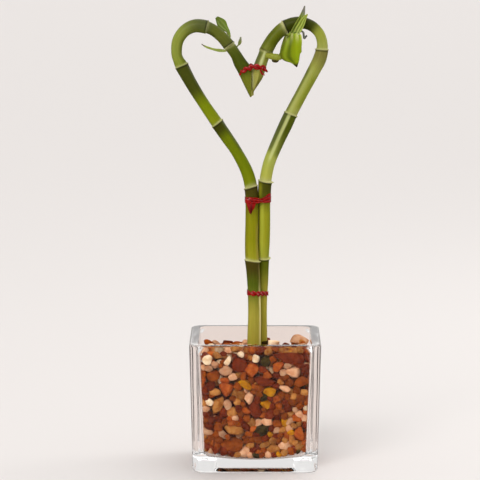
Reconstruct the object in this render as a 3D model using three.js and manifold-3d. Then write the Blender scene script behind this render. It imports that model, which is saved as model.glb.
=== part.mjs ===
// Lucky bamboo: two stalks trained into a heart, tied in red, standing in pebbles in a square glass vase.
// Millimetres, +Z up. Everything is first placed from the middle of the vase's foot, and the whole group is
// then moved so that the origin is the middle of the bounding box's bottom face.

import * as THREE from 'three';
import { mergeVertices } from 'three/addons/utils/BufferGeometryUtils.js';
import Module from 'manifold-3d';

const wasm = await Module();
wasm.setup();

// ---------------------------------------------------------------- driving dimensions

const CLEARANCE = 0.3; // gap between pieces that touch
const SAMPLES = 1500; // points at which a curve is measured

const VASE = {
  width: 100, // outer width at the rim, a standard 4-inch florist's cube
  footWidth: 95,
  height: 98,
  cornerShare: 0.18, // corner radius as a share of the half-width
  cornerSteps: 5,
  rimInner: 85, // inner width at the rim
  floorInner: 75.5, // inner width just above the rounded inner heel
  floorThickness: 11,
  dish: { share: 0.45, rise: 0.4, edge: 1.2 }, // rise of the floor at a share of its width, and at its edge
  heelRadius: 12, // inner heel
  heelSteps: 4,
  recessWidth: 63, // shallow recess underneath
  recessDepth: 2.2,
  recessSlope: 2, // width of its sloping wall
  rimRound: 1.5,
  footRound: 2.5,
  footBulge: 0.3, // where the middle of the foot's round edge lies, as a share of footRound
};

const PEBBLES = {
  top: 85, // level of the fill
  coreInset: 5.5, // inner body behind the stones that lie against the glass
  coreDrop: 3, // and how far below the level it ends
  seed: 20,
  rows: 5, // stones up each side
  columns: 6, // stones along each side
  topColumns: 5, // stones along and across the top
  length: [11, 15], // smallest and largest stone
  width: [0.68, 0.92], // a stone's width as a share of its length
  thickness: [0.5, 0.7], // and its thickness
  sink: 0.45, // share of its half thickness that a top stone sinks below the level
  low: 2.5, // room left below the lowest row, above the highest, at the glass corners and round the top
  high: 2,
  cornerRoom: 2,
  topRoom: 5,
  stagger: 0.22, // sideways shift of every other row, in columns
  big: [ // stones that stand out: place, half axes, turn about Z
    { at: [38, 31, 91], half: [5.6, 5.2, 5], turn: 0.5 },
    { at: [17, -31, 84.5], half: [11, 6, 4.6], turn: 0.1 },
    { at: [13, -8, 87], half: [5, 3.6, 4.4], turn: 0.4 },
    { at: [-31, -27, 84], half: [7, 5.5, 5], turn: 0.9 },
    { at: [-11, -32, 84], half: [5.5, 5, 5.6], turn: 0.3 },
  ],
};

// Stalks: place of the middle [x, y, z] and radius, from the foot to the cut tip.
const STALK_LEFT = {
  colour: 0x6f8a1c,
  line: [
    [-1.2, -2.2, 26, 5.2],
    [-1.2, -2.2, 60, 5.25],
    [-1.2, -2.2, 96, 5.3],
    [-0.8, -2.2, 112, 4.95],
    [-0.85, -2.2, 128, 4.75],
    [-1.5, -2.1, 143, 4.7],
    [-2.4, -2, 158, 4.7],
    [-2.9, -1.5, 170, 4.9],
    [-2.8, -1.1, 185, 4.75],
    [-2.9, -0.7, 200, 4.6],
    [-3.4, -0.4, 212.3, 4.35],
    [-6.2, 0, 223.5, 4.45],
    [-13.8, 0, 238.4, 4.3],
    [-23, 0, 252.3, 4.5],
    [-28.9, 0, 261, 4.5],
    [-38.6, 0, 275.2, 4.2],
    [-47.6, 0, 289.3, 4.5],
    [-56, 0, 304.4, 4.7],
    [-59.9, 0, 313.5, 4.15],
    [-59.3, 0, 323.5, 4.35],
    [-54.2, 0, 331.2, 4.6],
    [-46.7, 0, 335, 4.75],
    [-39.6, 0, 334.9, 4.65],
    [-33, 0, 332.4, 4.15],
    [-26.2, 0, 327.4, 4.05],
    [-19.7, 0, 319.8, 3.9],
    [-14.7, 0, 313, 3.75],
    [-11.1, 0, 307, 4.4],
    [-7.6, 0, 301.2, 5.3],
    [-3.4, 0, 293.4, 5.1],
    [1.6, 0, 283.2, 4.6],
  ],
  nodesNear: [[-2.4, 158.6], [-3.4, 212.3], [-28.9, 261], [-56.1, 304.6], [-36.4, 334], [-19.7, 319.8]],
};
const STALK_RIGHT = {
  colour: 0x7d9424,
  line: [
    [4.8, 6, 26, 4.4],
    [4.8, 6, 60, 4.4],
    [4.8, 6, 96, 4.4],
    [4.2, 6, 112, 4.35],
    [4.15, 6, 126, 4.25],
    [4.8, 5.3, 140, 4.25],
    [5.5, 4.3, 157, 4.2],
    [6.1, 2.9, 170, 4.35],
    [6.5, 1.6, 185, 4.4],
    [6.6, 0.8, 200, 4.4],
    [7.3, 0.3, 217, 4.35],
    [10.2, 0, 230.8, 4.5],
    [16.2, 0, 246.6, 4.8],
    [23.4, 0, 261.5, 4.9],
    [26.7, 0, 268.2, 4.7],
    [35.7, 0, 286, 4.65],
    [43.4, 0, 300.4, 4.9],
    [48.3, 0, 310.6, 4.9],
    [50.2, 0, 320.5, 4.3],
    [48.3, 0, 329, 4.1],
    [42, 0, 335, 4.3],
    [32.6, 0, 337.2, 4.5],
    [22.8, 0, 333.6, 4.7],
    [14.7, 0, 326.9, 4.7],
    [9.1, 0, 318.6, 4.3],
    [5.6, 0, 311, 3.85],
    [3.3, 0, 304.2, 4.15],
    [1.2, 0, 298, 4.4],
    [-2.7, 0, 290.6, 4.4],
    [-7.6, 0, 283, 4.3],
  ],
  nodesNear: [[5.7, 160.6], [7.3, 216.8], [26.8, 268.2], [50.1, 317.1], [22.4, 333.4], [7.7, 315.8]],
};
const STALK = {
  sides: 12,
  straightStep: 13, // row spacing below the fork
  bentStep: 5.2, // row spacing round the heart
  forkHeight: 205,
  flare: 0.4, // swelling just below each node
  flareLength: 6,
  rowRoom: { below: 8, above: 3 }, // no ordinary row lies this near a node
  ridge: 0.4, // raised ring at each node
  ridgeHalf: 0.45, // half length of the ring's crest
  ridgeFoot: 1.1, // half length of the ring's foot
};
const SEAM_X = -2.5; // upright plane where the two cut tips meet
const SEAM_BLOCK = { size: 50, top: 304.5 }; // the block that cuts each tip there
const TIP_FACE = { at: [-0.2, -3, 292], size: [20, 10, 15], turn: -28 }; // pale cut on the right tip

const TIES = {
  sides: 6,
  steps: 40,
  lower: { z: 130.4, tall: 1.9, deep: 0.75, wave: 0.35, waves: 9, arch: 0, archX: 0 },
  upper: { z: 201.4, tall: 2.3, deep: 0.65, wave: 0.3, waves: 5, arch: 0, archX: 0 },
  tip: { z: 303.6, tall: 1.6, deep: 0.8, wave: 0.3, waves: 11, arch: 0.043, archX: -0.9 },
};
const TIP_LOOP = [{ x: -6.6, y: 0, r: 5.55 }, { x: 2.3, y: 0, r: 4.45 }]; // the tips, as the tie wraps them
const KNOT = { at: [-4, -7.1, 201.7], half: [3.2, 1.25, 2.5] };
const TAIL = { top: 202.4, tip: 191.6, middleX: -3.9, width: 6, tipWidth: 0.8, y: -6.15, thick: 0.9 };

// Leaves: spine [x, y, z] from root to tip, flat half-width along it, the direction across the blade, and
// roll, the angle in radians through which each half of the blade is rolled in.
const LEAVES = {
  leaf_left_thin: {
    colour: 0x6c8420,
    spine: [
      [-21.2, 8.8, 318.4], [-25.2, 9, 316], [-30.5, 7.8, 316.4], [-36, 6.2, 318.4], [-40.8, 4.6, 321.2],
    ],
    half: [1, 1.6, 1.4, 1, 0.45],
    across: [0.1, 0.5, 1],
    roll: 0.7,
  },
  leaf_left_broad: {
    colour: 0x7fa02c,
    spine: [
      [-20.4, 9.2, 321.2], [-21.8, 11, 326.6], [-24, 11.4, 332], [-26.4, 10.6, 336.6], [-28.8, 9.4, 340.2],
    ],
    half: [1.3, 3.2, 4.2, 3.7, 1.5],
    across: [1, 0.2, 0.4],
    roll: 0.6,
  },
  leaf_left_tip: {
    colour: 0x6c8420,
    spine: [[-18, 9, 320.2], [-15.4, 9.4, 318.6], [-13, 8.8, 318.8], [-11.9, 7.8, 321.6], [-11.2, 7, 325.8]],
    half: [0.9, 1.4, 1.4, 1.1, 0.5],
    across: [0.7, 0.4, 0.7],
    roll: 0.8,
  },
  leaf_right_broad: {
    colour: 0x8c9e14,
    spine: [
      [20.6, -11.3, 313.9], [24.4, -10.5, 321.4], [27.8, -11.2, 328], [29, -13, 330],
      [29.1, -15, 328], [28.9, -16.4, 321], [28.8, -16.2, 314], [29.6, -15, 308.6], [30.7, -13.6, 304.6],
    ],
    half: [2.8, 4.2, 4.9, 5, 5.4, 6.3, 6.5, 4.6, 0.9],
    across: [1, 0.08, 0],
    roll: 0.75,
  },
  leaf_right_spear: {
    colour: 0x8fae2a,
    spine: [
      [27.8, -7.7, 330.7], [30.8, -7.7, 336], [33.2, -7, 341.4], [35.4, -5.8, 346.2], [37.2, -4.6, 350],
    ],
    half: [2, 2.6, 2.3, 1.6, 0.5],
    across: [1, 0.2, -0.4],
    roll: 1.5,
  },
  leaf_right_sheath: {
    colour: 0x93b330,
    spine: [[32, -9, 330.8], [34.9, -8.9, 335], [37, -7.8, 339.2], [38.9, -6.2, 343]],
    half: [1.9, 2.2, 1.8, 0.6],
    across: [1, -0.2, -0.5],
    roll: 1.5,
  },
  leaf_right_curl: {
    colour: 0x3c3a2c,
    spine: [
      [34.1, -9.1, 330.8], [35.7, -8.7, 328.2], [36.2, -8.2, 325], [36.9, -7.8, 323.6], [38.6, -7.4, 326.6],
    ],
    half: [0.8, 1, 0.8, 0.8, 0.5],
    across: [0, 1, 0],
    roll: 0.5,
  },
};
const BLADE = { thick: 0.75, acrossSteps: 4, rowsPerSpan: 2 };

// Stems of the two shoots: middle [x, y, z] and radius, from the stalk's node outwards.
const STEMS = {
  shoot_left: [[-19.7, 4.9, 319.8, 1.9], [-19.7, 6.5, 319.9, 2], [-19.8, 8.1, 320, 1.5]],
  shoot_right: [
    [9.9, -4.9, 313.6, 1.7], [13.2, -7.4, 312.6, 1.9], [17.4, -9.2, 311.8, 1.7], [21, -9.2, 313, 1.6],
    [23.6, -7.9, 318, 1.5], [25.8, -7.4, 324, 1.5], [27.4, -7.6, 330, 1.4],
  ],
};
const STEM = { sides: 7, step: 3 };
const BUD = { at: [13.9, -7.6, 309.6], half: [2, 1.5, 1.7] }; // dark dormant bud under the right shoot
const SHOOT_COLOUR = 0x9aae3c;

// ---------------------------------------------------------------- small tools

/** Seeded random numbers between 0 and 1. */
function seededRandom(seed) {
  let state = seed;
  return () => {
    state = (state + 0x6d2b79f5) | 0;
    let mixed = Math.imul(state ^ (state >>> 15), 1 | state);
    mixed = (mixed + Math.imul(mixed ^ (mixed >>> 7), 61 | mixed)) ^ mixed;
    return ((mixed ^ (mixed >>> 14)) >>> 0) / 4294967296;
  };
}

const mix = THREE.MathUtils.lerp;

/** A closed geometry with shared vertices, position only, without the flat triangles at a lathe's axis. */
function welded(geometry) {
  geometry.deleteAttribute('normal');
  geometry.deleteAttribute('uv');
  const merged = mergeVertices(geometry, 1e-4);
  const kept = [];
  for (let i = 0; i < merged.index.count; i += 3) {
    const corners = [0, 1, 2].map((corner) => merged.index.getX(i + corner));
    if (new Set(corners).size === 3) kept.push(...corners);
  }
  merged.setIndex(kept);
  return merged;
}

/** Moves every vertex of a geometry by a function of its place. */
function reshaped(geometry, place) {
  const position = geometry.attributes.position;
  const point = new THREE.Vector3();
  for (let i = 0; i < position.count; i += 1) {
    point.fromBufferAttribute(position, i);
    place(point);
    position.setXYZ(i, point.x, point.y, point.z);
  }
  return geometry;
}

function toSolid(geometry) {
  const mesh = new wasm.Mesh({
    numProp: 3,
    vertProperties: Float32Array.from(geometry.attributes.position.array),
    triVerts: Uint32Array.from(geometry.index.array),
  });
  return new wasm.Manifold(mesh);
}

function fromSolid(solid) {
  const mesh = solid.getMesh();
  const geometry = new THREE.BufferGeometry();
  geometry.setAttribute('position', new THREE.BufferAttribute(mesh.vertProperties, 3));
  geometry.setIndex(new THREE.BufferAttribute(mesh.triVerts, 1));
  return geometry;
}

/** The largest of a solid's separate bodies. */
function largestBody(solid) {
  const bodies = solid.decompose();
  bodies.sort((a, b) => b.volume() - a.volume());
  return bodies[0];
}

function named(name, geometry, colour, roughness, extra = {}) {
  const material = new THREE.MeshStandardMaterial({ color: colour, roughness, metalness: 0, ...extra });
  const mesh = new THREE.Mesh(geometry, material);
  mesh.name = name;
  return mesh;
}

/** Curve through [x, y, z, radius] points, and its radius at a share of the curve's own parameter. */
function tapered(points) {
  const curve = new THREE.CatmullRomCurve3(points.map(([x, y, z]) => new THREE.Vector3(x, y, z)));
  curve.arcLengthDivisions = SAMPLES;
  const radiusAt = (t) => {
    const place = t * (points.length - 1);
    const before = Math.min(Math.floor(place), points.length - 2);
    return mix(points[before][3], points[before + 1][3], place - before);
  };
  return { curve, radiusAt };
}

/** A round bar along a curve, its rows at the given distances, with a radius for each distance. */
function bentBar(curve, distances, radiusFor, sides) {
  const length = curve.getLength();
  const rows = distances.map((distance) => {
    const u = distance / length;
    const along = curve.getTangentAt(u);
    const side = new THREE.Vector3(0, 1, 0).projectOnPlane(along).normalize();
    const up = new THREE.Vector3().crossVectors(side, along);
    return { middle: curve.getPointAt(u), side, up, radius: radiusFor(distance) };
  });
  const bar = welded(new THREE.CylinderGeometry(1, 1, distances.length - 1, sides, distances.length - 1));
  return reshaped(bar, (point) => {
    const row = rows[Math.round(point.y + (distances.length - 1) / 2)];
    const across = point.x * row.radius;
    const over = point.z * row.radius;
    point.copy(row.middle).addScaledVector(row.side, across).addScaledVector(row.up, over);
  });
}

// ---------------------------------------------------------------- vase

/** Point of the unit rounded square at a share of the turn. */
function unitSquarePoint(share) {
  const corner = VASE.cornerShare;
  const stepsPerSide = VASE.cornerSteps + 1;
  const index = Math.round(share * 4 * stepsPerSide) % (4 * stepsPerSide);
  const quarter = Math.floor(index / stepsPerSide);
  const angle = (index % stepsPerSide) / VASE.cornerSteps * Math.PI / 2;
  const point = new THREE.Vector2(Math.cos(angle), Math.sin(angle));
  point.multiplyScalar(corner).addScalar(1 - corner);
  return point.rotateAround(new THREE.Vector2(0, 0), quarter * Math.PI / 2);
}

/** Turns a lathe profile of [half-width, height] points into a square solid with round corners. */
function squareLathe(profile) {
  const segments = 4 * (VASE.cornerSteps + 1);
  const lathe = new THREE.LatheGeometry(profile.map(([x, y]) => new THREE.Vector2(x, y)), segments);
  const body = welded(lathe);
  return reshaped(body, (point) => {
    const half = Math.hypot(point.x, point.z);
    const share = THREE.MathUtils.euclideanModulo(Math.atan2(-point.z, point.x) / (2 * Math.PI), 1);
    const unit = unitSquarePoint(share);
    point.set(unit.x * half, unit.y * half, point.y);
  });
}

/** Inner profile of the glass, from the middle of its floor up to the rim, set in by a gap. */
function innerProfile(gap) {
  const floor = VASE.floorThickness + gap;
  const half = VASE.floorInner / 2 - gap;
  const heel = VASE.heelRadius;
  const points = [[0, floor], [half * VASE.dish.share, floor + VASE.dish.rise]];
  for (let step = 0; step <= VASE.heelSteps; step += 1) {
    const angle = step / VASE.heelSteps * Math.PI / 2;
    const height = floor + VASE.dish.edge + heel * (1 - Math.cos(angle));
    points.push([half - heel + heel * Math.sin(angle), height]);
  }
  points.push([VASE.rimInner / 2 - gap, VASE.height - VASE.rimRound]);
  return points;
}

function makeVase() {
  const outer = VASE.width / 2;
  const foot = VASE.footWidth / 2;
  const recess = VASE.recessWidth / 2;
  const bulge = VASE.footRound * VASE.footBulge;
  const profile = [
    [0, VASE.recessDepth],
    [recess - VASE.recessSlope, VASE.recessDepth],
    [recess, 0],
    [foot - VASE.footRound, 0],
    [foot - bulge, bulge],
    [foot, VASE.footRound],
    [outer, VASE.height - VASE.rimRound],
    [outer - VASE.rimRound, VASE.height],
    [VASE.rimInner / 2 + VASE.rimRound, VASE.height],
    ...innerProfile(0).reverse(),
  ];
  return named('vase', squareLathe(profile), 0xe8eef0, 0.05, { transparent: true, opacity: 0.35 });
}

// ---------------------------------------------------------------- pebbles

/** One stone: an icosahedron stretched to its half axes, turned and placed. */
function stone(at, half, turn) {
  const lump = welded(new THREE.IcosahedronGeometry(1, 0));
  lump.scale(...half);
  lump.applyMatrix4(new THREE.Matrix4().makeRotationFromEuler(turn));
  lump.translate(...at);
  return lump;
}

/** Half axes of a random stone, its last axis the thin one. */
function stoneHalves(random) {
  const half = mix(...PEBBLES.length, random()) / 2;
  return [half, half * mix(...PEBBLES.width, random()), half * mix(...PEBBLES.thickness, random())];
}

/** Half-width of the fill at a height: the tapering inside of the glass, less the clearance. */
function fillHalf(z) {
  const low = VASE.floorThickness + VASE.heelRadius;
  return mix(VASE.floorInner, VASE.rimInner, (z - low) / (VASE.height - low)) / 2 - CLEARANCE;
}

/** Stones against the four glass walls, in jittered rows, each pushed out to the glass. */
function sideStones(random) {
  const stones = [];
  const low = VASE.floorThickness + PEBBLES.low;
  const high = PEBBLES.top - PEBBLES.high;
  const jitter = (share) => share * (random() - 0.5);
  for (let face = 0; face < 4; face += 1) {
    for (let row = 0; row < PEBBLES.rows; row += 1) {
      for (let column = 0; column < PEBBLES.columns; column += 1) {
        const z = mix(low, high, (row + 0.5 + jitter(0.25)) / PEBBLES.rows);
        const stagger = row % 2 === 0 ? PEBBLES.stagger : -PEBBLES.stagger;
        const share = (column + 0.5 + stagger + jitter(0.2)) / PEBBLES.columns;
        const half = stoneHalves(random);
        const turn = new THREE.Euler(Math.PI / 2 + jitter(0.5), jitter(0.5), Math.PI * random(), 'YXZ');
        const lump = stone([0, 0, 0], half, turn);
        lump.computeBoundingBox();
        const wall = fillHalf(z + lump.boundingBox.min.z);
        const x = mix(-1, 1, share) * (wall - PEBBLES.cornerRoom);
        lump.translate(x, -wall - lump.boundingBox.min.y, z);
        lump.rotateZ(face * Math.PI / 2);
        stones.push(lump);
      }
    }
  }
  return stones;
}

/** Stones on top of the fill, in a jittered grid. */
function topStones(random) {
  const stones = [];
  const span = VASE.rimInner / 2 - PEBBLES.topRoom;
  const jitter = (share) => share * (random() - 0.5);
  const placeOf = (index) => mix(-span, span, (index + 0.5 + jitter(0.5)) / PEBBLES.topColumns);
  for (let row = 0; row < PEBBLES.topColumns; row += 1) {
    for (let column = 0; column < PEBBLES.topColumns; column += 1) {
      const half = stoneHalves(random);
      const turn = new THREE.Euler(jitter(0.7), jitter(0.7), Math.PI * random());
      const z = PEBBLES.top - half[2] * PEBBLES.sink + random();
      stones.push(stone([placeOf(column), placeOf(row), z], half, turn));
    }
  }
  return stones;
}

/** Plain round hole for a stalk's straight foot. */
function stalkHole(stalk) {
  const [x, y, foot] = stalk.line[0];
  const low = foot - CLEARANCE;
  const high = VASE.height + VASE.rimInner / 2;
  const [, , , wideAtLevel] = stalk.line[2];
  const wide = wideAtLevel + CLEARANCE;
  const hole = new THREE.CylinderGeometry(wide, wide, high - low, STALK.sides);
  hole.rotateX(Math.PI / 2);
  hole.translate(x, y, (low + high) / 2);
  return toSolid(welded(hole));
}

function makePebbles() {
  const random = seededRandom(PEBBLES.seed);
  const cavityProfile = innerProfile(CLEARANCE);
  cavityProfile.push([0, VASE.height]);
  const cavity = toSolid(squareLathe(cavityProfile));
  const coreProfile = innerProfile(PEBBLES.coreInset);
  coreProfile.pop();
  const coreTop = PEBBLES.top - PEBBLES.coreDrop;
  coreProfile.push([fillHalf(coreTop) - PEBBLES.coreInset, coreTop], [0, coreTop]);
  const core = toSolid(squareLathe(coreProfile));
  const big = PEBBLES.big.map(({ at, half, turn }) => stone(at, half, new THREE.Euler(0, 0, turn)));
  const lumps = [...sideStones(random), ...topStones(random), ...big].map(toSolid);
  let fill = wasm.Manifold.union([core, ...lumps]).intersect(cavity);
  fill = fill.subtract(stalkHole(STALK_LEFT)).subtract(stalkHole(STALK_RIGHT));
  return named('pebbles', fromSolid(largestBody(fill)), 0x8a5a38, 0.6);
}

// ---------------------------------------------------------------- stalks

/** Distances along a stalk of its nodes, each the nearest to a named [x, z] place. */
function nodeDistances(stalk, curve) {
  const samples = curve.getSpacedPoints(SAMPLES);
  return stalk.nodesNear.map(([x, z]) => {
    const gaps = samples.map((point) => Math.hypot(point.x - x, point.z - z));
    return gaps.indexOf(Math.min(...gaps)) / SAMPLES * curve.getLength();
  });
}

function stalkSolid(stalk) {
  const { curve, radiusAt } = tapered(stalk.line);
  const length = curve.getLength();
  const nodes = nodeDistances(stalk, curve);
  const rows = [0, length];
  for (const node of nodes) {
    rows.push(node - STALK.flareLength, node - STALK.ridgeFoot, node - STALK.ridgeHalf);
    rows.push(node + STALK.ridgeHalf, node + STALK.ridgeFoot);
  }
  const straight = STALK.forkHeight - stalk.line[0][2];
  const spread = (from, to, step) => {
    const count = Math.ceil((to - from) / step);
    for (let i = 1; i < count; i += 1) {
      const distance = mix(from, to, i / count);
      const { below, above } = STALK.rowRoom;
      const crowded = (node) => distance > node - below && distance < node + above;
      if (!nodes.some(crowded)) rows.push(distance);
    }
  };
  spread(0, straight, STALK.straightStep);
  spread(straight, length, STALK.bentStep);
  rows.sort((a, b) => a - b);
  const radiusFor = (distance) => {
    let radius = radiusAt(curve.getUtoTmapping(distance / length));
    for (const node of nodes) {
      const below = node - distance;
      if (below > 0 && below < STALK.flareLength) radius += STALK.flare * (1 - below / STALK.flareLength);
      if (Math.abs(below) <= STALK.ridgeHalf + 1e-6) radius += STALK.ridge;
    }
    return radius;
  };
  return toSolid(bentBar(curve, rows, radiusFor, STALK.sides));
}

/** Cuts a stalk's tip along the seam, so that it keeps to its own side of the other tip. */
function cutAtSeam(solid, side) {
  const { size, top } = SEAM_BLOCK;
  const block = new THREE.BoxGeometry(size, size, size);
  block.translate(SEAM_X + side * (CLEARANCE - size) / 2, 0, top - size / 2);
  return solid.subtract(toSolid(welded(block)));
}

/** The pale cut on the front of the right tip. */
function cutTipFace(solid) {
  const { at, size, turn } = TIP_FACE;
  const block = new THREE.BoxGeometry(...size);
  block.translate(0, -size[1] / 2, 0);
  block.rotateZ(THREE.MathUtils.degToRad(turn));
  block.translate(...at);
  return solid.subtract(toSolid(welded(block)));
}

function makeStalkLeft() {
  const solid = cutAtSeam(stalkSolid(STALK_LEFT), -1);
  return named('stalk_left', fromSolid(largestBody(solid)), STALK_LEFT.colour, 0.4);
}

function makeStalkRight() {
  const solid = cutTipFace(cutAtSeam(stalkSolid(STALK_RIGHT), 1));
  return named('stalk_right', fromSolid(largestBody(solid)), STALK_RIGHT.colour, 0.4);
}

// ---------------------------------------------------------------- ties

/** A stalk's round section at a height of its straight part. */
function sectionAt(stalk, z) {
  const { curve, radiusAt } = tapered(stalk.line);
  const shares = Array.from({ length: SAMPLES }, (_, i) => i / SAMPLES);
  const share = shares.find((t) => curve.getPoint(t).z >= z);
  const { x, y } = curve.getPoint(share);
  return { x, y, r: radiusAt(share) };
}

/** A closed band round two circles: each direction's point lies on the circle that reaches furthest. */
function bandGeometry(tie, circles) {
  const tube = 0.25;
  const ring = welded(new THREE.TorusGeometry(1, tube, TIES.sides, TIES.steps));
  return reshaped(ring, (point) => {
    const angle = Math.atan2(point.y, point.x);
    const outward = (Math.hypot(point.x, point.y) - 1) / tube;
    const upward = point.z / tube;
    const reach = (circle) => circle.x * Math.cos(angle) + circle.y * Math.sin(angle) + circle.r;
    const circle = circles.reduce((best, next) => (reach(next) > reach(best) ? next : best));
    const distance = circle.r + CLEARANCE + tie.deep * (1 + outward);
    const x = circle.x + distance * Math.cos(angle);
    const tall = tie.tall + tie.wave * Math.cos(tie.waves * angle);
    const height = tie.z - tie.arch * (x - tie.archX) ** 2;
    point.set(x, circle.y + distance * Math.sin(angle), height + tall * upward);
  });
}

function makeTie(name, geometry) {
  return named(name, geometry, 0x8a1a14, 0.3);
}

/** A level band round the straight pair of stalks. */
function straightBand(tie) {
  return bandGeometry(tie, [sectionAt(STALK_LEFT, tie.z), sectionAt(STALK_RIGHT, tie.z)]);
}

/** The knot and its hanging tail, on the front of the left stalk. */
function knotAndTail() {
  const knot = welded(new THREE.IcosahedronGeometry(1, 1));
  knot.scale(...KNOT.half);
  knot.translate(...KNOT.at);
  const outline = new THREE.Shape();
  outline.moveTo(-TAIL.width / 2, TAIL.top);
  outline.lineTo(-TAIL.tipWidth / 2, TAIL.tip);
  outline.lineTo(TAIL.tipWidth / 2, TAIL.tip);
  outline.lineTo(TAIL.width / 2, TAIL.top);
  const tail = new THREE.ExtrudeGeometry(outline, { depth: TAIL.thick, bevelEnabled: false });
  tail.rotateX(Math.PI / 2);
  tail.translate(TAIL.middleX, TAIL.y + TAIL.thick / 2, 0);
  return toSolid(knot).add(toSolid(welded(tail)));
}

// ---------------------------------------------------------------- shoots and leaves

/** A thin blade: its section is an arc, rolled in, carried along the spine. */
function bladeGeometry({ spine, half, across, roll }) {
  const curve = new THREE.CatmullRomCurve3(spine.map((point) => new THREE.Vector3(...point)));
  const spans = spine.length - 1;
  const rows = spans * BLADE.rowsPerSpan;
  const wide = new THREE.Vector3(...across);
  const box = welded(new THREE.BoxGeometry(2, 1, 1, BLADE.acrossSteps, 1, rows));
  return reshaped(box, (point) => {
    const t = point.z + 0.5;
    const place = Math.min(t * spans, spans - 1e-6);
    const before = Math.floor(place);
    const halfWidth = mix(half[before], half[before + 1], place - before);
    const along = curve.getTangent(t);
    const side = wide.clone().projectOnPlane(along).normalize();
    const face = new THREE.Vector3().crossVectors(along, side);
    const angle = roll * point.x;
    const off = point.y * BLADE.thick;
    const sideways = halfWidth * Math.sin(angle) / roll + off * Math.sin(angle);
    const inward = halfWidth * (1 - Math.cos(angle)) / roll - off * Math.cos(angle);
    point.copy(curve.getPoint(t)).addScaledVector(side, sideways).addScaledVector(face, -inward);
  });
}

function makeLeaf(name) {
  const leaf = LEAVES[name];
  return named(name, bladeGeometry(leaf), leaf.colour, 0.45, { side: THREE.DoubleSide });
}

function stemGeometry(points) {
  const { curve, radiusAt } = tapered(points);
  const length = curve.getLength();
  const count = Math.ceil(length / STEM.step);
  const distances = Array.from({ length: count + 1 }, (_, i) => i / count * length);
  const radiusFor = (distance) => radiusAt(curve.getUtoTmapping(distance / length));
  return bentBar(curve, distances, radiusFor, STEM.sides);
}

function makeShootRight() {
  const bud = welded(new THREE.IcosahedronGeometry(1, 0));
  bud.scale(...BUD.half);
  bud.translate(...BUD.at);
  const solid = toSolid(stemGeometry(STEMS.shoot_right)).add(toSolid(bud));
  return named('shoot_right', fromSolid(solid), SHOOT_COLOUR, 0.45);
}

// ---------------------------------------------------------------- the whole plant

const plant = new THREE.Group();
plant.add(makeVase());
plant.add(makePebbles());
plant.add(makeStalkLeft());
plant.add(makeStalkRight());
plant.add(makeTie('tie_lower', straightBand(TIES.lower)));
plant.add(makeTie('tie_upper', fromSolid(toSolid(straightBand(TIES.upper)).add(knotAndTail()))));
plant.add(makeTie('tie_tip', bandGeometry(TIES.tip, TIP_LOOP)));
plant.add(named('shoot_left', stemGeometry(STEMS.shoot_left), SHOOT_COLOUR, 0.45));
plant.add(makeShootRight());
for (const name of Object.keys(LEAVES)) plant.add(makeLeaf(name));

const bounds = new THREE.Box3().setFromObject(plant);
const middle = bounds.getCenter(new THREE.Vector3());
plant.position.set(-middle.x, -middle.y, -bounds.min.z);
plant.updateMatrixWorld(true);

export default plant;
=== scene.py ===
"""Lucky bamboo trained into a heart, tied in red and standing in pebbles in a square glass vase.

Every size below is in millimetres from the middle of the vase's foot: x to the right across the heart, y to
the back and z up. `Home` turns such points into the frame's metres.
"""

import logging
import math
from collections.abc import Sequence
from dataclasses import dataclass, field
from enum import Enum
from functools import cached_property
from itertools import combinations

import bpy
import numpy as np
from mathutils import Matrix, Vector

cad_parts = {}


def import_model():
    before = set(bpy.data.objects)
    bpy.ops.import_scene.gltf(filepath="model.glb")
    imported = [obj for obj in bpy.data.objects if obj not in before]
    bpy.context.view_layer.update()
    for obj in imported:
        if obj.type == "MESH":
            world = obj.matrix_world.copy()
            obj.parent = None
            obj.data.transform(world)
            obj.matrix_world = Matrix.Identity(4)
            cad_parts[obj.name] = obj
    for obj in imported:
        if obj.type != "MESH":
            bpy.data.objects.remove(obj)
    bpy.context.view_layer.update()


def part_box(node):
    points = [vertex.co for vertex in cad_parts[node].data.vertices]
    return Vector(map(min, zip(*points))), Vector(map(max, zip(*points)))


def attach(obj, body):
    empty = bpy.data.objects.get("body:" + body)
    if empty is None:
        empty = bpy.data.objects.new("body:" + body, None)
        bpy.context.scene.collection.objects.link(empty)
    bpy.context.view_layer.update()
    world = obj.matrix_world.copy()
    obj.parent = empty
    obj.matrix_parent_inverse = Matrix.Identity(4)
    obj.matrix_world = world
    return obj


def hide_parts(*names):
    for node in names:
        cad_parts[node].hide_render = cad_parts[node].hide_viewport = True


Array = np.ndarray
Point = tuple[float, float, float]
Line = tuple[tuple[float, float, float, float], ...]  # places with a radius at each
Colour = tuple[float, float, float, float]
Node, Socket, Tree, Material = bpy.types.Node, bpy.types.NodeSocket, bpy.types.NodeTree, bpy.types.Material
Input = float | Sequence[float] | Socket

MM = 0.001
SEED = 20
CLEARANCE = 0.3  # gap between neighbours that touch
TOUCH = 0.15  # gap between a tie and the stalks that it holds
SHARP_ANGLE = 42.0  # degrees between faces above which an edge is drawn sharp
BODY = "root"
# A mesh attribute's type and item, by how many numbers it holds for each point.
ATTRIBUTES = {1: ("FLOAT", "value"), 3: ("FLOAT_VECTOR", "vector"), 4: ("FLOAT_COLOR", "color")}
log = logging.getLogger("lucky_bamboo")


# ---- numbers and colours


def linear(code: str) -> Colour:
    """Linear colour of an sRGB hex code: ((c + 0.055) / 1.055) ** 2.4, or c / 12.92 where c is dark.

    Args:
        code: Six hex digits.

    Returns:
        Red, green, blue and an alpha of 1.
    """
    channels = [int(code[i : i + 2], 16) / 255 for i in (0, 2, 4)]
    red, green, blue = (c / 12.92 if c <= 0.04045 else ((c + 0.055) / 1.055) ** 2.4 for c in channels)
    return (red, green, blue, 1.0)


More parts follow.
